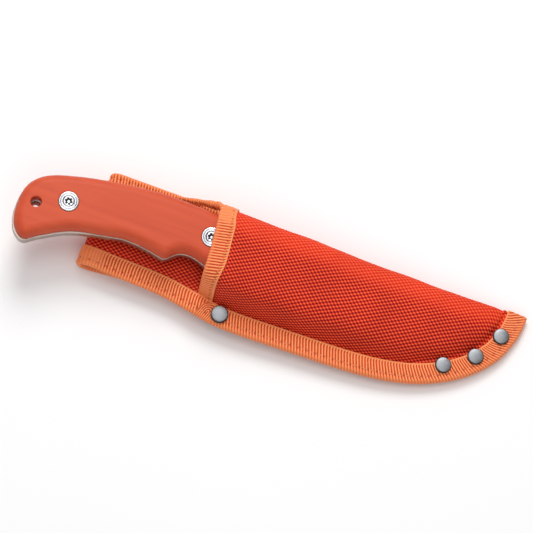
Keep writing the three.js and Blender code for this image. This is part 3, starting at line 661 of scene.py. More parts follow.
def loop_path():
    """Middle of the cloth from the belt-loop fold round and back to its sewn end, as (x, z, nx, nz)."""
    r, last = LOOP_R + CLOTH / 2, PI - LAY
    cz = CLOTH / 2 - r
    a = np.linspace(0, last, 60)
    arc = np.stack([FOLD_X - r * np.sin(a), cz + r * np.cos(a)], 1)
    e = arc[-1]
    run = lambda x: [x, e[1] + LAY_SLOPE * (x - e[0])]
    end = -TAPE * 2 - 0.2 - CLOTH / 2
    pts = [run(x) for x in np.linspace(e[0] + 1, -38.5, 60)]
    tail = spline([run(-38.5), run(-36.5), [-35.0, run(-35.0)[1] + 0.55], [-28.2, end - 0.55], [-26.6, end], [-24.0, end]], 60)
    line = np.vstack([arc, pts, tail[1:]])
    line = resample(line, 700)
    k = np.ones(9) / 9
    sm = np.stack([np.convolve(np.pad(line[:, c], 4, mode="edge"), k, "valid") for c in range(2)], 1)
    sm[0], sm[-1] = line[0], line[-1]
    t = np.gradient(sm, axis=0)
    t /= np.linalg.norm(t, axis=1)[:, None]
    return sm, np.stack([t[:, 1], -t[:, 0]], 1)      # outward side: front of the extension, underside of the loop


loop_line, loop_out = loop_path()
loop_len = lengths(loop_line)


def strip_at(q):
    """Point and outward normal on the long back strip; q >= FOLD_X is x itself, below that the way round the loop."""
    q = np.asarray(q, float)
    d = np.clip(FOLD_X - q, 0, loop_len[-1])
    x = np.where(q >= FOLD_X, q, np.interp(d, loop_len, loop_line[:, 0]))
    z = np.where(q >= FOLD_X, CLOTH / 2, np.interp(d, loop_len, loop_line[:, 1]))
    nx = np.where(q >= FOLD_X, 0.0, np.interp(d, loop_len, loop_out[:, 0]))
    nz = np.where(q >= FOLD_X, 1.0, np.interp(d, loop_len, loop_out[:, 1]))
    return x, z, nx, nz


Q_END = FOLD_X - loop_len[-1]


def low_edge(q):
    """Lower edge of the belt loop, which is cut a little narrower than the panel it hangs behind."""
    return EXT_LOW + 2.0 * smooth(0, 38, FOLD_X - np.asarray(q, float))


def back_cloth():
    dq, dy = 0.41, 0.41
    qs = np.arange(Q_END + 0.05, 124.9, dq)
    top = np.where(qs > MOUTH_X - 2.0, spine_low(qs) - 1.72, EXT_TOP - TAPE - 0.25)
    low = np.where(qs > FOLD_X, np.interp(qs, cloth_edge[:, 0], cloth_edge[:, 1]), low_edge(qs) + TAPE + 0.25)
    blend = smooth(MOUTH_X - 3.5, MOUTH_X - 1.0, qs)
    top = lerp(np.full_like(qs, EXT_TOP - TAPE - 0.25), spine_low(qs) - 1.72, blend)
    m = int((22.0 - low.min()) / dy) + 2
    ys = 21.6 - np.arange(m) * dy
    Y = np.minimum(np.maximum(ys[None], low[:, None]), top[:, None])
    keep = (np.minimum(ys[None, :-1], 99) > np.maximum(low[:-1], low[1:])[:, None] + 0.05) & \
           (ys[None, 1:] < np.minimum(top[:-1], top[1:])[:, None] - 0.05)
    x, z, nx, nz = strip_at(qs)
    shape = Y.shape
    X, Z = np.broadcast_to(x[:, None], shape), np.broadcast_to(z[:, None], shape)
    N = np.stack([np.broadcast_to(nx[:, None], shape), np.zeros(shape), np.broadcast_to(nz[:, None], shape)], -1)
    P = np.stack([X, Y, Z], -1)
    # the third value is the yarns' height for the shader; at 0.9 it also paints the cloth slightly lighter, a painted
    # highlight
    w = np.stack([np.broadcast_to(qs[:, None], shape), Y, np.full(shape, 0.9)], -1)
    edge = np.minimum(Y - low[:, None], top[:, None] - Y)
    free = smooth(9.5, 14, edge)
    loop = smooth(FOLD_X, FOLD_X - 8, qs)[:, None]
    inside = (smooth(MOUTH_X - 14, MOUTH_X - 30, qs) * (1 - smooth(FOLD_X + 12, FOLD_X, qs)))[:, None]
    sway = (0.35 * np.sin((w[..., 0] + 10) / 13.0) * np.sin((Y + 31) / 15.0) * loop + 0.18 * np.sin(w[..., 0] / 7.3 + Y / 9.0) * inside) * free
    h = weave(w[..., 0], Y)
    O = P + N * (CLOTH / 2 + sway + 0.15 * h * (0.3 + 0.7 * smooth(8.5, 10.0, edge)))[..., None]
    I = P + N * (-CLOTH / 2 + sway - 0.13 * h * (0.3 + 0.7 * smooth(8.5, 10.0, edge)))[..., None]
    V, F, at = slab(O, I, keep, {"weave": w})
    return piece("sheath_back_cloth", V, F, CLOTH_MAT, "sheath", ["sheath_back_panel", "belt_loop"], at)


back = back_cloth()


# =====================================================================
# Binding tapes: a ribbed strip folded over an edge
# =====================================================================
def u_profile(top, bottom, width_top, width_bottom, n_flat=15, n_round=14, nose=1.55):
    """(a, b) round the fold: a inwards from the folded edge, b through the stack; outer surface of the tape."""
    h = (top - bottom) / 2
    c = (top + bottom) / 2
    a1 = np.linspace(width_top, nose, n_flat, endpoint=False)
    th = np.linspace(PI / 2, -PI / 2, n_round)
    a2, b2 = nose - nose * np.cos(th), c + h * np.sin(th)
    a3 = np.linspace(nose, width_bottom, n_flat + 1)[1:]
    a = np.concatenate([a1, a2, a3])
    b = np.concatenate([np.full(n_flat, top), b2, np.full(n_flat, bottom)])
    return a, b


def tape_piece(name, origin, inward, normal, top, bottom, widths, phase, replaces, calm=None, extra=None, slant=None,
               stitch=6.6, pitch=4.4, amp=0.13, ridge=None, surface=None):
    """origin, inward, normal: (n,3) along the tape; top, bottom, widths: (n,) numbers."""
    n = len(origin)
    prof = [u_profile(top[i], bottom[i], widths[i], widths[i]) for i in range(n)]
    A, B = np.array([p[0] for p in prof]), np.array([p[1] for p in prof])
    m = A.shape[1]
    d = np.stack([np.gradient(A, axis=1), np.gradient(B, axis=1)], -1)
    d /= np.linalg.norm(d, axis=-1)[..., None]
    NA, NB = d[..., 1], -d[..., 0]                   # outward from the fold
    half = (m - 1) / 2
    NA = np.where(np.arange(m)[None] < half, NA, NA)
    sign = np.sign((NB[:, 2] * 1.0).mean()) or 1.0   # on the top flat the outward side is up
    NA, NB = NA * sign, NB * sign
    k = np.arange(m)
    upper = k < m / 2
    across = np.where(upper[None], widths[:, None] - A, widths[:, None] - A)   # from the selvedge
    fold = smooth(widths[:, None] - 2.4, widths[:, None] - 0.7, across)
    s = lengths(origin) if phase is None else phase
    S = np.broadcast_to(s[:, None], A.shape)
    if slant is None:
        slant = np.full(n, 0.31)
    inner = widths[:, None] - across
    ph = S + np.where(upper[None], 1, -0.4) * slant[:, None] * inner - 0.55 * smooth(widths[:, None] - 2.2, widths[:, None], inner) * np.where(upper[None], 1, 0)
    if extra is not None:
        ph = extra(S, A, upper, ph)
    calmness = np.zeros(n) if calm is None else calm
    C = np.broadcast_to(calmness[:, None], A.shape)
    hole_s = (S / pitch) % 1.0
    # needle holes along the stitch line: dented in the mesh and, in the shader, painted dark as painted shade
    hole = np.exp(-(((np.minimum(hole_s, 1 - hole_s) * pitch) / 0.42) ** 2 + ((across - stitch) / 0.42) ** 2))
    puff = 0.16 * np.exp(-((across - 3.4) / 1.9) ** 2) + 0.12 * np.exp(-((across - widths[:, None] * 0.88) / 1.0) ** 2) - 0.16 * np.exp(-((across - stitch) / 0.5) ** 2)
    selv = 0.10 * np.exp(-((across - 0.45) / 0.35) ** 2)
    rib = amp * np.cos(2 * PI * ph / RIB) * (1 - 0.55 * fold) * (1 - 0.9 * C) * smooth(0.5, 1.1, across)
    disp = puff + selv + rib - 0.35 * hole
    if ridge is not None:
        disp = disp + ridge(S, across, upper)
    lift = (B + NB * disp)
    out_a = A + NA * disp
    if surface is None:
        def surface(a, b):
            return origin[:, None] + inward[:, None] * a[..., None] + normal[:, None] * b[..., None]
    base = (disp - rib - selv) * (0.3 if ridge is None else 0.5)
    O = surface(out_a, lift)
    I = surface(A - NA * TAPE, B + NB * (base - TAPE))
    at = {"tape": np.stack([S, across, ph], -1), "tapeinfo": np.stack([hole, fold, C], -1)}
    V, F, at = slab(O, I, np.ones((n - 1, m - 1), bool), at)
    area = (lengths(origin)[-1]) * float(np.mean(lengths(np.stack([A[n // 2], B[n // 2]], 1))[-1]))
    ob = piece(name, V, F, TAPE_MAT, "sheath", replaces, at)
    return ob, O, N_of(O), lengths(origin)[-1]


def N_of(O):
    n = grid_normals(O)
    return n


def unit(v):
    return v / (np.linalg.norm(v, axis=-1)[..., None] + 1e-12)


# ---- the long tape: belt loop, lower edge of the back, belly, tip ---------------------------
def belly_tape():
    step = 0.25
    L = lengths(belly_line)
    total = L[-1]
    s_sheath = np.arange(0, total, step)
    xy = along(belly_line, s_sheath)
    nn = unit(np.stack([np.interp(s_sheath, L, belly_in[:, 0]), np.interp(s_sheath, L, belly_in[:, 1])], -1))
    origin_a = np.stack([xy[:, 0], xy[:, 1], np.full(len(xy), CLOTH / 2)], -1)
    inward_a = np.stack([nn[:, 0], nn[:, 1], np.zeros(len(xy))], -1)
    normal_a = np.tile([0, 0, 1.0], (len(xy), 1))
    q = np.arange(Q_END + 0.1, FOLD_X - 0.01, step)
    x, z, nx, nz = strip_at(q)
    origin_b = np.stack([x, low_edge(q), z], -1)
    inward_b = np.tile([0, 1.0, 0], (len(x), 1))
    normal_b = np.stack([nx, np.zeros(len(x)), nz], -1)
    origin, inward, normal = np.vstack([origin_b, origin_a]), np.vstack([inward_b, inward_a]), unit(np.vstack([normal_b, normal_a]))
    s = np.concatenate([q - FOLD_X, s_sheath])
    xx = origin[:, 0] * np.where(s >= 0, 1, 0) + np.where(s < 0, -90, 0)
    t = smooth(-33.0, -26.5, xx)
    thin = CLOTH / 2 + GAP + TAPE
    top = lerp(thin, 2 * CLOTH + GAP - CLOTH / 2 + GAP + TAPE, t)
    bottom = np.full(len(s), -thin)
    width = np.full(len(s), TAPE_W)
    slant = 0.31 + 0.26 * smooth(104, 121, xx) - 0.25 * smooth(-34, -50, xx)
    s_m = float(np.interp(-27.5, belly_line[:, 0], L))      # beside the mouth

    s_c = round((s_m + 7.6) / (RIB / 2)) * RIB / 2         # middle of the bunched ribs, between the mouth tape and its rivet
    calm = 0.92 * (1 - smooth(2.5, 9.0, s)) * smooth(-17, -13, s)

    def swirl(S, A, upper, ph):
        # below the mouth the ribs double back over themselves in nested arches
        cs = S - s_c - 0.2 * (A - 3.0)
        r = np.hypot(cs * 1.2, np.maximum(0, A - 4.2))
        arch = s_c + r * 1.2
        return np.where((r < 5.6) & upper[None], arch, ph)

    def ridge(S, across, upper):
        cs = S - (s_m + 3.6)
        ca = (TAPE_W - across) - 5.6
        up = np.where(upper[None], 1, 0)
        return up * (1.35 * np.exp(-(cs / 4.6) ** 2 - (ca / 3.2) ** 2) + 0.3 * np.exp(-((cs + 9.5) / 3.0) ** 2 - (ca / 3.5) ** 2))

    return tape_piece("long_binding_tape", origin, inward, normal, top, bottom, width, s, ["belly_binding", "lower_edge_binding"],
                      calm=calm, extra=swirl, slant=slant, ridge=ridge, amp=0.12), s


(long_tape, long_O, long_N, long_len), long_s = belly_tape()


# ---- the mouth tape: from the belly over the handle to the fold ------------------------------
def mouth_surface(n):
    """Cloth surface under the mouth tape: a from the mouth inwards, then along from the belly to the fold."""
    ks = np.linspace(-1.3, 11.0, 26)
    P, N = np.zeros((len(ks), n, 3)), np.zeros((len(ks), n, 3))
    for k, a in enumerate(ks):
        X = MOUTH_X - 1.25 + a
        p, _ = section_at(X)
        s = lengths(p)
        i0 = np.searchsorted(p[:, 0], float(y_inner(X)) - 3.4)
        yz = along(p, np.linspace(s[min(i0, len(s) - 1)], s[-1] - 1.6, n))
        t = unit(np.gradient(yz, axis=0))
        nrm = np.stack([-t[:, 1], t[:, 0]], 1)
        if nrm[n // 2, 1] < 0:
            nrm = -nrm
        P[k, :, 0] = X + mouth_lean(yz[:, 0]) * (1 - smooth(-17, 14, X))
        P[k, :, 1:], N[k, :, 1:] = yz, nrm
    return ks, P, N


def mouth_tape():
    n = 330
    ks, P, N = mouth_surface(n)

    def surface(a, b):
        f = np.clip((a - ks[0]) / (ks[1] - ks[0]), 0, len(ks) - 1.001)
        k = f.astype(int)
        t = (f - k)[..., None]
        i = np.arange(n)[:, None]
        base = P[k, i] * (1 - t) + P[k + 1, i] * t
        nrm = unit(N[k, i] * (1 - t) + N[k + 1, i] * t)
        return base + nrm * (b - CLOTH / 2)[..., None]
    mid = P[10]
    s = lengths(mid)
    y = mid[:, 1]
    c = CLOTH / 2 + GAP + 0.06 + TAPE
    calm = np.maximum(0.95 * smooth(8.0, 11.0, y), 0.55 * smooth(-15.5, -20.5, y))
    none = np.zeros((n, 3))
    return tape_piece("mouth_binding_tape", mid, none, none, np.full(n, c + 0.05), np.full(n, -c), 9.3 - 1.3 * smooth(9, 18, y) - 1.3 * smooth(-8, -20, y), s,
                      ["mouth_binding"], calm=calm, slant=np.full(n, -0.32), stitch=1.9, pitch=2.3, amp=0.11,
                      extra=lambda S, A, upper, ph: ph * (RIB / 1.4), surface=surface)


mouth, mouth_O, mouth_N, mouth_len = mouth_tape()


# ---- the upper edge tape: belt loop and back panel behind the handle --------------------------
def upper_tape():
    q = np.arange(Q_END + 0.1, MOUTH_X - 1.0, 0.25)
    x, z, nx, nz = strip_at(q)
    n = len(q)
    y = np.full(n, EXT_TOP)
    origin = np.stack([x, y, z], -1)
    inward = np.tile([0, -1.0, 0], (n, 1))
    normal = unit(np.stack([nx, np.zeros(n), nz], -1))
    c = CLOTH / 2 + GAP + TAPE
    slant = np.full(n, -0.2)
    return tape_piece("upper_binding_tape", origin, inward, normal, np.full(n, c), np.full(n, -c), np.full(n, TAPE_W), q - FOLD_X,
                      ["upper_edge_binding"], slant=slant)


upper, upper_O, upper_N, upper_len = upper_tape()


# ---- where the mouth tape runs down off the fold to meet the upper edge tape ------------------
def corner_ribbon():
    path = [[-28.6, 10.5, 20.7], [-29.2, 14.0, 20.5], [-30.0, 16.6, 19.6], [-32.0, 18.4, 17.2], [-35.5, 19.1, 13.4], [-40.0, 19.5, 9.4],
            [-45.0, 19.7, 6.0], [-49.5, 19.6, 3.7], [-53.0, 19.5, 2.3]]
    depth = [[1, 0, -0.05], [1, -0.05, -0.1], [0.9, -0.1, -0.4], [0.7, -0.1, -0.7], [0.58, -0.1, -0.8], [0.5, -0.15, -0.85],
             [0.4, -0.3, -0.85], [0.25, -0.6, -0.7], [0.1, -0.9, -0.4]]
    n = 190
    knots = np.array(path, float)
    line = spline(knots, n)
    s = lengths(line)
    at = np.concatenate([[0], np.cumsum(np.linalg.norm(np.diff(knots, axis=0), axis=1))])
    at *= s[-1] / at[-1]
    t = unit(np.gradient(line, axis=0))
    inward = unit(np.stack([np.interp(s, at, np.array(depth)[:, c]) for c in range(3)], -1))
    inward = unit(inward - t * (inward * t).sum(-1)[:, None])
    normal = unit(np.cross(t, inward))
    if normal[n // 2, 1] < 0:
        normal = -normal
    u = s / s[-1]
    half = 1.25 - 0.3 * smooth(0.6, 1.0, u) + 0.16 * np.sin(u * 19.0) * smooth(0.2, 0.4, u)
    width = 6.2 - 3.3 * smooth(0.25, 0.62, u)
    calm = 0.9 * (1 - smooth(0.12, 0.32, u))
    crease = lambda S, across, upper: -0.5 * np.exp(-((S - 14.0) / 0.9) ** 2) + 0.3 * np.exp(-((S - 11.5) / 1.3) ** 2) - 0.3 * np.exp(-((S - 9.0) / 0.6) ** 2) * np.where(upper[None], 0, 1)
    return tape_piece("corner_binding_tape", line, inward, normal, half, -half, width, s, [], calm=calm, slant=np.full(n, 0.15),
                      stitch=1.9, pitch=2.3, amp=0.10, extra=lambda S, A, upper, ph: ph * (RIB / 1.4), ridge=crease)


corner, corner_O, corner_N, corner_len = corner_ribbon()


# =====================================================================
# Knife: plates whose thickness is a function of place, meshed with their real outline and holes
# =====================================================================
def seg_distance(P, ring):
    a = ring
    b = np.roll(ring, -1, 0)
    ab = b - a
    L2 = (ab ** 2).sum(1) + 1e-12
    best = np.full(len(P), 1e9)
    for k in range(0, len(P), 4000):
        p = P[k:k + 4000, None]
        t = np.clip(((p - a[None]) * ab[None]).sum(-1) / L2[None], 0, 1)
        d = np.linalg.norm(p - (a[None] + t[..., None] * ab[None]), axis=-1)
        best[k:k + 4000] = d.min(1)
    return best


def inside_ring(P, ring):
    x, y = P[:, 0], P[:, 1]
    a, b = ring, np.roll(ring, -1, 0)
    c = np.zeros(len(P), bool)
    for (x0, y0), (x1, y1) in zip(a, b):
        if y0 == y1:
            continue
        hit = ((y0 > y) != (y1 > y)) & (x < (x1 - x0) * (y - y0) / (y1 - y0) + x0)
        c ^= hit
    return c


def circle(cx, cy, r, n=48):
    t = np.arange(n) * 2 * PI / n
    return np.stack([cx + r * np.cos(t), cy + r * np.sin(t)], 1)


def triangulate(ring, holes, inner, lines=()):
    verts, edges = [], []

    def loop(r):
        k0 = len(verts)
        verts.extend(r.tolist())
        for i in range(len(r)):
            edges.append((k0 + i, k0 + (i + 1) % len(r)))
    loop(ring)
    for h in holes:
        loop(h)
    for ln in lines:
        k0 = len(verts)
        verts.extend(ln.tolist())
        for i in range(len(ln) - 1):
            edges.append((k0 + i, k0 + i + 1))
    verts.extend(inner.tolist())
    v, _, f, _, _, _ = delaunay_2d_cdt([Vector(p) for p in verts], edges, [], 0, 1e-6)
    v = np.array([[p.x, p.y] for p in v])
    f = np.array([t for t in f if len(t) == 3])
    c = v[f].mean(1)
    ok = inside_ring(c, ring)
    for h in holes:
        ok &= ~inside_ring(c, h)
    f = f[ok]
    a, b, d = v[f[:, 0]], v[f[:, 1]], v[f[:, 2]]
    area = (b[:, 0] - a[:, 0]) * (d[:, 1] - a[:, 1]) - (b[:, 1] - a[:, 1]) * (d[:, 0] - a[:, 0])
    f = f[np.abs(area) > 1e-9]
    area = area[np.abs(area) > 1e-9]
    f[area < 0] = f[area < 0][:, ::-1]
    return v, f


def weld(V, F, tol=1e-4):
    key = np.round(V / tol).astype(np.int64)
    _, first, inv = np.unique(key, axis=0, return_index=True, return_inverse=True)
    inv = inv.ravel()
    V2 = V[first]
    out = []
    for f in F:
        g = [int(inv[i]) for i in f]
        h = [g[i] for i in range(len(g)) if g[i] != g[i - 1]]
        if len(set(h)) >= 3 and len(set(h)) == len(h):
            out.append(h)
    return V2, out


def scatter(ring, spacing, gap, keep_off=()):
    lo, hi = ring.min(0), ring.max(0)
    xs = np.arange(lo[0], hi[0], spacing)
    ys = np.arange(lo[1], hi[1], spacing * 0.866)
    P = np.array([[x + (spacing / 2 if j % 2 else 0), y] for j, y in enumerate(ys) for x in xs])
    P = P[inside_ring(P, ring)]
    P = P[seg_distance(P, ring) > gap]
    for (cx, cy, r) in keep_off:
        P = P[np.hypot(P[:, 0] - cx, P[:, 1] - cy) > r]
    return P


handle_ring = spline(HANDLE, 420, closed=True)
area2 = (handle_ring[:, 0] * np.roll(handle_ring[:, 1], -1) - np.roll(handle_ring[:, 0], -1) * handle_ring[:, 1]).sum()
if area2 < 0:
    handle_ring = handle_ring[::-1]
handle_in = left(handle_ring, True)


# the steel stands proud of both scales along the belly of the handle, most of all towards the butt
facing = np.clip(0.25 * handle_in[:, 0] + handle_in[:, 1], 0, 1)
scale_ring = handle_ring + handle_in * (0.06 + facing * (0.5 + 0.65 * smooth(-78, -92, handle_ring[:, 0])))[:, None]
scale_in = left(scale_ring, True)


def scale_piece(side, name, node):
    holes_top = [circle(*SCREWS[0], 5.0), circle(*SCREWS[1], 5.0), circle(*LANYARD, LANYARD_R)]
    lanyard_rings = [circle(*LANYARD, r) for r in (2.7, 2.85, 3.05, 3.3)]
    screw_rings = [circle(*c, r) for c in SCREWS for r in (5.12, 5.3)]
    near = [scale_ring + scale_in * d for d in (0.05, 0.13, 0.25, 0.42)]
    P = np.vstack([scatter(scale_ring, 0.62, 0.5, [(*SCREWS[0], 5.6), (*SCREWS[1], 5.6), (*LANYARD, 3.6)])] + near + lanyard_rings + screw_rings)
    P = P[inside_ring(P, scale_ring)]
    v, f = triangulate(scale_ring, holes_top, P)
    d = seg_distance(v, scale_ring)
    d[d < 1e-4] = 0
    q = np.clip(d / 5.2, 0, 1)
    w = 2.45 + 5.55 * np.sqrt(np.clip(1 - (1 - q) ** 2, 0, 1))
    w -= 0.10 * (1 - smooth(5.2, 12.0, d)) * smooth(2.0, 5.2, d)       # a faint crown
    dl = np.hypot(v[:, 0] - LANYARD[0], v[:, 1] - LANYARD[1]) - LANYARD_R
    w -= 0.55 * (1 - np.sqrt(np.clip(1 - (1 - np.clip(dl / 0.7, 0, 1)) ** 2, 0, 1)))
    for c in SCREWS:
        dc = np.hypot(v[:, 0] - c[0], v[:, 1] - c[1]) - 5.0
        w -= 0.12 * (1 - smooth(0, 0.3, dc))
    top = np.column_stack([v, w])
    V, F = [top], [list(t) for t in f]
    half = STEEL_T / 2 + 0.05

    def near_w(ring):
        out = []
        for p in ring:
            k = np.argmin(((v - p) ** 2).sum(1))
            out.append(w[k])
        return np.array(out)

    count = len(top)

    def wall(rings, outward):
        nonlocal count
        n = len(rings[0])
        base = count
        for r in rings:
            V.append(r)
            count += n
        for k in range(len(rings) - 1):
            for i in range(n):
                j = (i + 1) % n
                quad = [base + k * n + i, base + k * n + j, base + (k + 1) * n + j, base + (k + 1) * n + i]
                F.append(quad if outward else quad[::-1])
    col = lambda ring, z: np.column_stack([ring, np.broadcast_to(z, len(ring))])
    wall([col(scale_ring, half), col(scale_ring, near_w(scale_ring))], True)
    for h, c in zip(holes_top[:2], SCREWS):
        wall([col(h, 6.4), col(h, near_w(h))], False)
        wall([col(circle(*c, 3.1), 6.4), col(h, 6.4)], False)
        wall([col(circle(*c, 3.1), half), col(circle(*c, 3.1), 6.4)], False)
    wall([col(holes_top[2], half), col(holes_top[2], 5.0), col(holes_top[2], near_w(holes_top[2]))], False)
    vb, fb = triangulate(scale_ring, [circle(*c, 3.1) for c in SCREWS] + [holes_top[2]], scatter(scale_ring, 4.0, 2.0, [(*SCREWS[0], 5), (*SCREWS[1], 5), (*LANYARD, 5)]))
    V.append(np.column_stack([vb, np.full(len(vb), half)]))
    F.extend([[int(i) + count for i in t[::-1]] for t in fb])
    VV = np.vstack(V)
    if side < 0:
        VV[:, 2] *= -1
        F = [g[::-1] for g in F]
    VV, F = weld(VV, F)
    return piece(name, VV, F, SCALE_MAT, "knife", [node], place=from_knife, sharp=48)


front_scale = scale_piece(1, "moulded_front_scale", "front_scale")
rear_scale = scale_piece(-1, "moulded_rear_scale", "rear_scale")


def blade():
    B = np.array(BLADE)
    tang = [p for p in handle_ring if p[0] < -14.5]
    k = int(np.argmax([np.linalg.norm(np.array(tang[i]) - np.array(tang[i - 1])) for i in range(len(tang))]))
    tang = tang[k:] + tang[:k]                        # starts and ends at the cut; runs anticlockwise
    tang = np.array(tang)
    if tang[0][1] < tang[-1][1]:
        tang = tang[::-1]                             # from the spine round the butt to the belly side
    notch = spline([tang[-1], [-13.2, -15.2], [-11.6, -14.2], [-9.9, -14.0], [-8.4, -14.7], [-7.3, -15.9], [-5.9, -16.3]], 26)[1:]
    xs = np.concatenate([np.linspace(-5.0, 92, 120), np.linspace(92.6, 106.6, 46)])
    edge = np.column_stack([xs, flow(B[:, [0, 2]], xs)])
    spx = np.concatenate([np.linspace(106.6, 92, 24), np.linspace(91, -13.0, 100)])
    spine = np.column_stack([spx, flow(B[:, [0, 1]], np.maximum(spx, -6.1)) + np.where(spx < -6, 0.0, 0)])
    ring = np.vstack([tang, notch, edge, spine[0:]])
    ring = ring[np.concatenate([[True], np.linalg.norm(np.diff(ring, axis=0), axis=1) > 0.02])]
    a2 = (ring[:, 0] * np.roll(ring[:, 1], -1) - np.roll(ring[:, 0], -1) * ring[:, 1]).sum()
    if a2 < 0:
        ring = ring[::-1]
    holes = [circle(*SCREWS[0], 3.1), circle(*SCREWS[1], 3.1), circle(*LANYARD, LANYARD_R + 0.3)]
    ye = lambda x: flow(B[:, [0, 2]], x)
    ys = lambda x: flow(B[:, [0, 1]], x)

    def grind(x):
        full = ye(x) + (ys(x) - ye(x)) * 0.56
        t = np.clip((x + 5.0) / 7.5, 0, 1)
        return ye(x) + (full - ye(x)) * np.sqrt(1 - (1 - t) ** 2)
    gx = np.linspace(-4.6, 105.6, 200)
    line = np.column_stack([gx, grind(gx)])
    bx = np.linspace(-3.5, 105.0, 180)
    line2 = np.column_stack([bx, ye(bx) + 0.95 * np.minimum(1, (ys(bx) - ye(bx)) / 6)])
    inr = scatter(ring, 0.8, 0.35, [(*SCREWS[0], 3.6), (*SCREWS[1], 3.6), (*LANYARD, 3.4)])
    dist_line = np.minimum(np.abs(inr[:, 1] - grind(inr[:, 0])), np.abs(inr[:, 1] - ye(inr[:, 0]) - 0.95))
    inr = inr[(dist_line > 0.3) | (inr[:, 0] < -5)]
    rim_in = left(ring, True)
    r1 = ring + rim_in * 0.25
    r1 = r1[(r1[:, 0] < -6) | (r1[:, 1] > 11)]
    inr = np.vstack([inr, r1[inside_ring(r1, ring)]])
    v, f = triangulate(ring, holes, inr, [line, line2])
    x, y = v[:, 0], v[:, 1]
    T = np.where(x < -6.1, 4.2, flow(B[:, [0, 3]], x)) / 2
    g, e0 = grind(x), ye(x)
    w = T.copy()
    low = (x > -5.0) & (y < g)
    t = np.clip((y - e0) / np.maximum(g - e0, 1e-6), 0, 1)
    w = np.where(low, np.maximum(0.30, T * t + 0.30 * (1 - t)), w)
    tb = np.clip((y - e0) / 0.95, 0, 1)
    w = np.where((x > -4.0) & (y < e0 + 0.95), np.minimum(w, 0.045 + (w - 0.045) * tb), w)
    d = seg_distance(v, ring)
    rim = (x < -6) | (y > ys(x) - 0.4)
    w = np.where(rim, w - 0.16 * (1 - smooth(0, 0.25, d)), w)
    n = len(v)
    V = np.vstack([np.column_stack([v, w]), np.column_stack([v, -w])])
    F = [list(map(int, q)) for q in f] + [[int(i) + n for i in q[::-1]] for q in f]
    e = np.vstack([f[:, [0, 1]], f[:, [1, 2]], f[:, [2, 0]]])
    key = np.sort(e, axis=1)
    _, inv, cnt = np.unique(key, axis=0, return_inverse=True, return_counts=True)
    for a, b in e[cnt[inv.ravel()] == 1]:
        F.append([int(b), int(a), int(a) + n, int(b) + n])
    return piece("ground_blade", V, F, STEEL_MAT, "knife", ["blade_tang"], place=from_knife, sharp=16)


knife_steel = blade()


# ---- turned pieces ----------------------------------------------------------------------------
def lathe(profile, cx, cy, side=1, n=72, lobes=None):
    """profile: (r, w) from the axis at the underside round to the axis on top; lobes(r_index, theta) changes a radius."""
    th = np.arange(n) * 2 * PI / n
    V, F = [], []
    rings = []
    for k, (r, w) in enumerate(profile):
        if r < 1e-6:
            rings.append(("p", len(V)))
            V.append([cx, cy, side * w])
        else:
            rings.append(("r", len(V)))
            rr = np.full(n, r) if lobes is None else lobes(k, r, th)
            V.extend([[cx + a * math.cos(t), cy + a * math.sin(t), side * w] for a, t in zip(rr, th)])
    for (ka, a), (kb, b) in zip(rings[:-1], rings[1:]):
        for i in range(n):
            j = (i + 1) % n
            if ka == "p" and kb == "p":
                break
            if ka == "p":
                F.append([a, b + j, b + i])
            elif kb == "p":
                F.append([a + i, a + j, b])
            else:
                F.append([a + i, a + j, b + j, b + i])
    if rings[0][0] == "r":                            # a ring closes on itself
        a, b = rings[-1][1], rings[0][1]
        for i in range(n):
            j = (i + 1) % n
            F.append([a + i, a + j, b + j, b + i])
    V = np.array(V)
    tri = np.array([[f[0], f[i], f[i + 1]] for f in F for i in range(1, len(f) - 1)])
    if volume(V, tri) < 0:
        F = [f[::-1] for f in F]
    return V, F


def arc(r0, w0, r1, w1, n=5, bulge=0.2929):
    """Quarter round from (r0, w0) to (r1, w1)."""
    out = []
    for t in np.linspace(0, PI / 2, n):
        out.append((r1 + (r0 - r1) * math.cos(t), w0 + (w1 - w0) * math.sin(t)) if r1 < r0 else (r0 + (r1 - r0) * math.sin(t), w1 + (w0 - w1) * math.cos(t)))
    return out


face = HANDLE_T / 2
for where, (cx, cy) in zip(("rear", "front"), SCREWS):
    for side, tag in ((1, "near"), (-1, "far")):
        g = face
        prof = [(2.05, g - 1.55), (4.88, g - 1.55), (4.9, g - 1.5), (4.9, g + 0.10)] + arc(4.9, g + 0.10, 4.55, g + 0.40, 6)[1:] + \
               [(4.2, g + 0.45), (4.06, g + 0.42), (3.98, g + 0.28), (3.86, g + 0.20), (3.74, g + 0.28), (3.66, g + 0.43), (3.45, g + 0.46),
                (3.05, g + 0.44), (2.85, g + 0.40), (2.72, g + 0.30), (2.70, g - 0.7), (2.05, g - 0.7)]
        V, F = lathe(prof, cx, cy, side)
        piece(f"{where}_{tag}_cup_washer", V, F, BRIGHT_MAT, "knife", [f"{where}_washer_{tag}"], place=from_knife, sharp=40)
        top = g + 0.38
        prof = [(0, 3.2), (1.8, 3.2), (1.8, g - 0.65), (2.6, g - 0.65), (2.6, g + 0.12)] + arc(2.6, g + 0.12, 2.35, top - 0.02, 5)[1:] + \
               [(2.2, top), (1.95, top), (1.62, top - 0.01), (1.52, top - 0.06), (1.48, top - 0.3), (1.44, top - 1.05), (0.75, top - 1.08), (0.7, top - 0.8), (0, top - 0.74)]
        first = len(prof) - 7

        def lobes(k, r, th, first=first):
            if k >= first:
                return r + (0.38 if r > 1 else 0.0) * (0.25 + np.cos(6 * th)) * (1.0 if k > first else 0.85)
            return np.full(len(th), r)
        V, F = lathe(prof, cx, cy, side, lobes=lobes)
        cz = top - 0.12
        # the star recess takes the near-black material: painted shade in the recess
        mi = [1 if all(abs(V[i][2]) < cz and math.hypot(V[i][0] - cx, V[i][1] - cy) < 2.02 for i in f) and abs(V[f[0]][2]) > g - 0.8 and max(math.hypot(V[i][0] - cx, V[i][1] - cy) for i in f) > 0.72 else 0 for f in F]
        piece(f"{where}_{tag}_star_screw", V, F, [BRIGHT_MAT, DARK_MAT], "knife", [f"{where}_screw_{tag}"], place=from_knife, sharp=38, mat_index=mi)

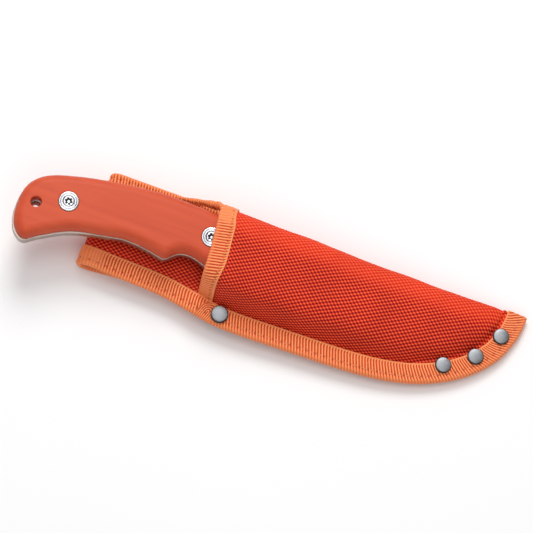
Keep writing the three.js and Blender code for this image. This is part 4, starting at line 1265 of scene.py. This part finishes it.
# ---- rivets -----------------------------------------------------------------------------------
tape_top, tape_bottom = 2 * CLOTH + 2 * GAP + TAPE, -GAP - TAPE
for name, cx, cy, r in RIVETS:
    z = tape_top - 0.35
    lift = 1.15 if name == "mouth_rivet" else 0.0
    z0 = z + lift * 0.55
    ring = [(0, z0), (r + 0.22, z0), (r + 0.28, z0 + 0.1), (r + 0.28, z0 + 0.75), (r + 0.18, z0 + 0.88), (r - 0.15, z0 + 0.9)]
    z0 += 0.4
    cap = [(r - 0.12, z0 + 0.98), (r - 0.02, z0 + 1.1)] + arc(r, z0 + 1.2, r - 0.55, z0 + 1.62, 6) + \
          [(r * 0.72, z0 + 1.72), (r * 0.5, z0 + 1.80), (r * 0.25, z0 + 1.85), (0, z0 + 1.87)]
    prof = ring + cap
    V, F = lathe(prof, cx, cy, 1, n=80)
    # the base ring and the wall under the cap's rim take the near-black material: a black ring seen all round the cap,
    # and painted shade under the rim
    mi = [1 if max(V[i][2] for i in f) < z0 + 1.02 and max(math.hypot(V[i][0] - cx, V[i][1] - cy) for i in f) > 0.5 else 0 for f in F]
    piece(f"{name}_domed_cap", V, F, [RIVET_MAT, DARK_MAT], "sheath", [f"{name}_cap"], sharp=38, mat_index=mi)
    zb = tape_bottom - GAP
    prof = [(0, zb - 0.62), (0.9, zb - 0.64), (1.15, zb - 0.95), (2.2, zb - 0.98), (r - 0.7, zb - 0.92)] + arc(r, zb - 0.45, r - 0.6, zb - 0.88, 5)[::-1] + \
           [(r, zb + 0.1), (1.5, zb + 0.1), (1.5, tape_top - 0.4), (0, tape_top - 0.4)]
    V, F = lathe(prof, cx, cy, 1, n=64)
    piece(f"{name}_turned_post", V, F, RIVET_MAT, "sheath", [f"{name}_post"], sharp=38)

# ---- pieces kept from the frame ---------------------------------------------------------------
def dress(node, mat):
    ob = frame["nodes"][node]
    ob.data.materials.clear()
    ob.data.materials.append(mat)


for node in ("rear_sleeve", "front_sleeve"):
    dress(node, STEEL_MAT)
dress("blade_liner", LINER_MAT)


# =====================================================================
# Stitching
# =====================================================================
def thread_piece(name, segs, radius=0.27, sides=8):
    """segs: list of (p0, p1, normal) in the sheath frame; each a short stitch that dips at both ends."""
    V, F = [], []
    for p0, p1, nr in segs:
        p0, p1, nr = np.array(p0, float), np.array(p1, float), np.array(nr, float)
        ax = unit(p1 - p0)
        sd = unit(np.cross(ax, nr))
        L = np.linalg.norm(p1 - p0)
        ts = np.linspace(0, 1, 9)
        base = len(V)
        for t in ts:
            hgt = 0.16 * math.sin(PI * t) - 0.22 * (1 - math.sin(PI * t)) ** 2
            c = p0 + ax * L * t + nr * hgt
            rr = radius * (0.45 + 0.55 * math.sin(PI * min(max(t, 0.06), 0.94)) ** 0.5)
            for k in range(sides):
                a = 2 * PI * k / sides
                V.append(c + sd * rr * math.cos(a) + nr * rr * 0.8 * math.sin(a))
        for i in range(len(ts) - 1):
            for k in range(sides):
                j = (k + 1) % sides
                F.append([base + i * sides + k, base + i * sides + j, base + (i + 1) * sides + j, base + (i + 1) * sides + k])
        F.append([base + k for k in range(sides)][::-1])
        F.append([base + (len(ts) - 1) * sides + k for k in range(sides)])
    return piece(name, np.array(V), F, THREAD_MAT, "sheath")


def stitch_row(O, s, rows, pitch, share=0.62, skip=None):
    """Stitches along column rows[k] of a tape's outer grid O, whose rows lie at distances s."""
    segs = []
    dv = np.gradient(O, axis=0)
    du = np.gradient(O, axis=1)
    N = unit(np.cross(dv, du))
    for col, flip in rows:
        q = np.arange(math.ceil(s[0] / pitch) * pitch, s[-1] - pitch, pitch)
        for a in q:
            if skip is not None and skip(a):
                continue
            i0 = int(np.searchsorted(s, a + pitch * (1 - share) / 2))
            i1 = int(np.searchsorted(s, a + pitch * (1 + share) / 2))
            if i1 >= len(s) - 1:
                continue
            nr = N[(i0 + i1) // 2, col] * flip
            segs.append((O[i0, col], O[i1, col], nr))
    return segs


def col_at(O, across, width, upper=True):
    """Column of a tape's grid whose distance from the selvedge is nearest to across."""
    m = O.shape[1]
    flat = 15
    k = int(round(across / (width - 1.55) * flat))
    return k if upper else m - 1 - k


def outward(O, col, ref):
    dv, du = np.gradient(O, axis=0), np.gradient(O, axis=1)
    N = unit(np.cross(dv, du))
    return 1.0 if N[len(O) // 2, col] @ ref > 0 else -1.0


cu, cl = col_at(long_O, 6.6, TAPE_W), col_at(long_O, 6.6, TAPE_W, False)
rivet_s = []
segs = stitch_row(long_O, long_s, [(cu, outward(long_O, cu, np.array([0, 0, 1.0]))), (cl, outward(long_O, cl, np.array([0, 0, -1.0])))], 4.4)
segs = [g for g in segs if all(math.hypot(g[0][0] - x, g[0][1] - y) > r + 0.4 for _, x, y, r in RIVETS)]
long_thread = thread_piece("long_tape_stitches", segs)
ms = lengths(mouth_O[:, 7])
cm = col_at(mouth_O, 1.9, 9.3)
mouth_thread = thread_piece("mouth_tape_stitches", stitch_row(mouth_O, ms, [(cm, outward(mouth_O, cm, np.array([0, 0, 1.0])))], 2.3, 0.6), 0.22)
us = np.arange(len(upper_O)) * 0.25 + (Q_END + 0.1 - FOLD_X)
ca, cb = col_at(upper_O, 6.6, TAPE_W), col_at(upper_O, 6.6, TAPE_W, False)
upper_thread = thread_piece("upper_tape_stitches", stitch_row(upper_O, us, [(ca, outward(upper_O, ca, np.array([0, 0, 1.0]))), (cb, outward(upper_O, cb, np.array([0, 0, -1.0])))], 4.4))


def loop_box():
    """Two rows across the belt loop's sewn end."""
    segs = []
    rows = [Q_END + 1.6, Q_END + 3.4]
    for q in rows:
        for y in np.arange(-17.0, 9.6, 2.9):
            x, z, nx, nz = strip_at(q)
            n = np.array([float(nx), 0, float(nz)])
            p = np.array([float(x), y, float(z)]) + n * (CLOTH / 2 + 0.12)
            segs.append((p, p + np.array([0, 2.0, 0]), n))
    return thread_piece("belt_loop_stitches", segs, 0.3)


loop_thread = loop_box()


# =====================================================================
# Floor and light
# =====================================================================
def floor():
    n = 24
    V = [[(i / n - 0.5) * 6, (j / n - 0.5) * 6, 0] for j in range(n + 1) for i in range(n + 1)]
    F = [[j * (n + 1) + i, j * (n + 1) + i + 1, (j + 1) * (n + 1) + i + 1, (j + 1) * (n + 1) + i] for j in range(n) for i in range(n)]
    me = bpy.data.meshes.new("floor")
    me.from_pydata(V, [], F)
    m = Mat("floor")
    p = m.obj()
    m.put("Base Color", m.ramp(m.noise(p, 3.0, 2.0), [(0.3, (0.93, 0.93, 0.93)), (0.7, (0.95, 0.95, 0.95))]))
    m.put("Roughness", 0.95)
    m.b.inputs["Specular IOR Level"].default_value = 0.1
    me.materials.append(m.m)
    ob = bpy.data.objects.new("floor", me)
    ob.location = (0, 0, -0.0002)
    bpy.context.collection.objects.link(ob)


floor()


def lamp(name, where, target, size, power, tint=(1, 1, 1)):
    d = bpy.data.lights.new(name, "AREA")
    d.shape, d.size, d.energy, d.color = "DISK", size, power, tint
    ob = bpy.data.objects.new(name, d)
    ob.location = where
    ob.rotation_euler = (Vector(target) - Vector(where)).to_track_quat("-Z", "Y").to_euler()
    bpy.context.collection.objects.link(ob)


w = bpy.data.worlds.new("studio")
w.use_nodes = True
bg = w.node_tree.nodes["Background"]
bg.inputs[0].default_value = (1, 1, 1, 1)
bg.inputs[1].default_value = 0.42
bpy.context.scene.world = w
lamp("key", (-0.25, 0.8, 1.05), (0, 0, 0.01), 0.7, 10.0)
lamp("fill", (0.5, -0.9, 1.3), (0, 0, 0.01), 1.2, 3.4)
lamp("top", (-0.1, 0.1, 1.6), (0, 0, 0.01), 0.9, 5.0)
bpy.context.scene.view_settings.view_transform = "Standard"
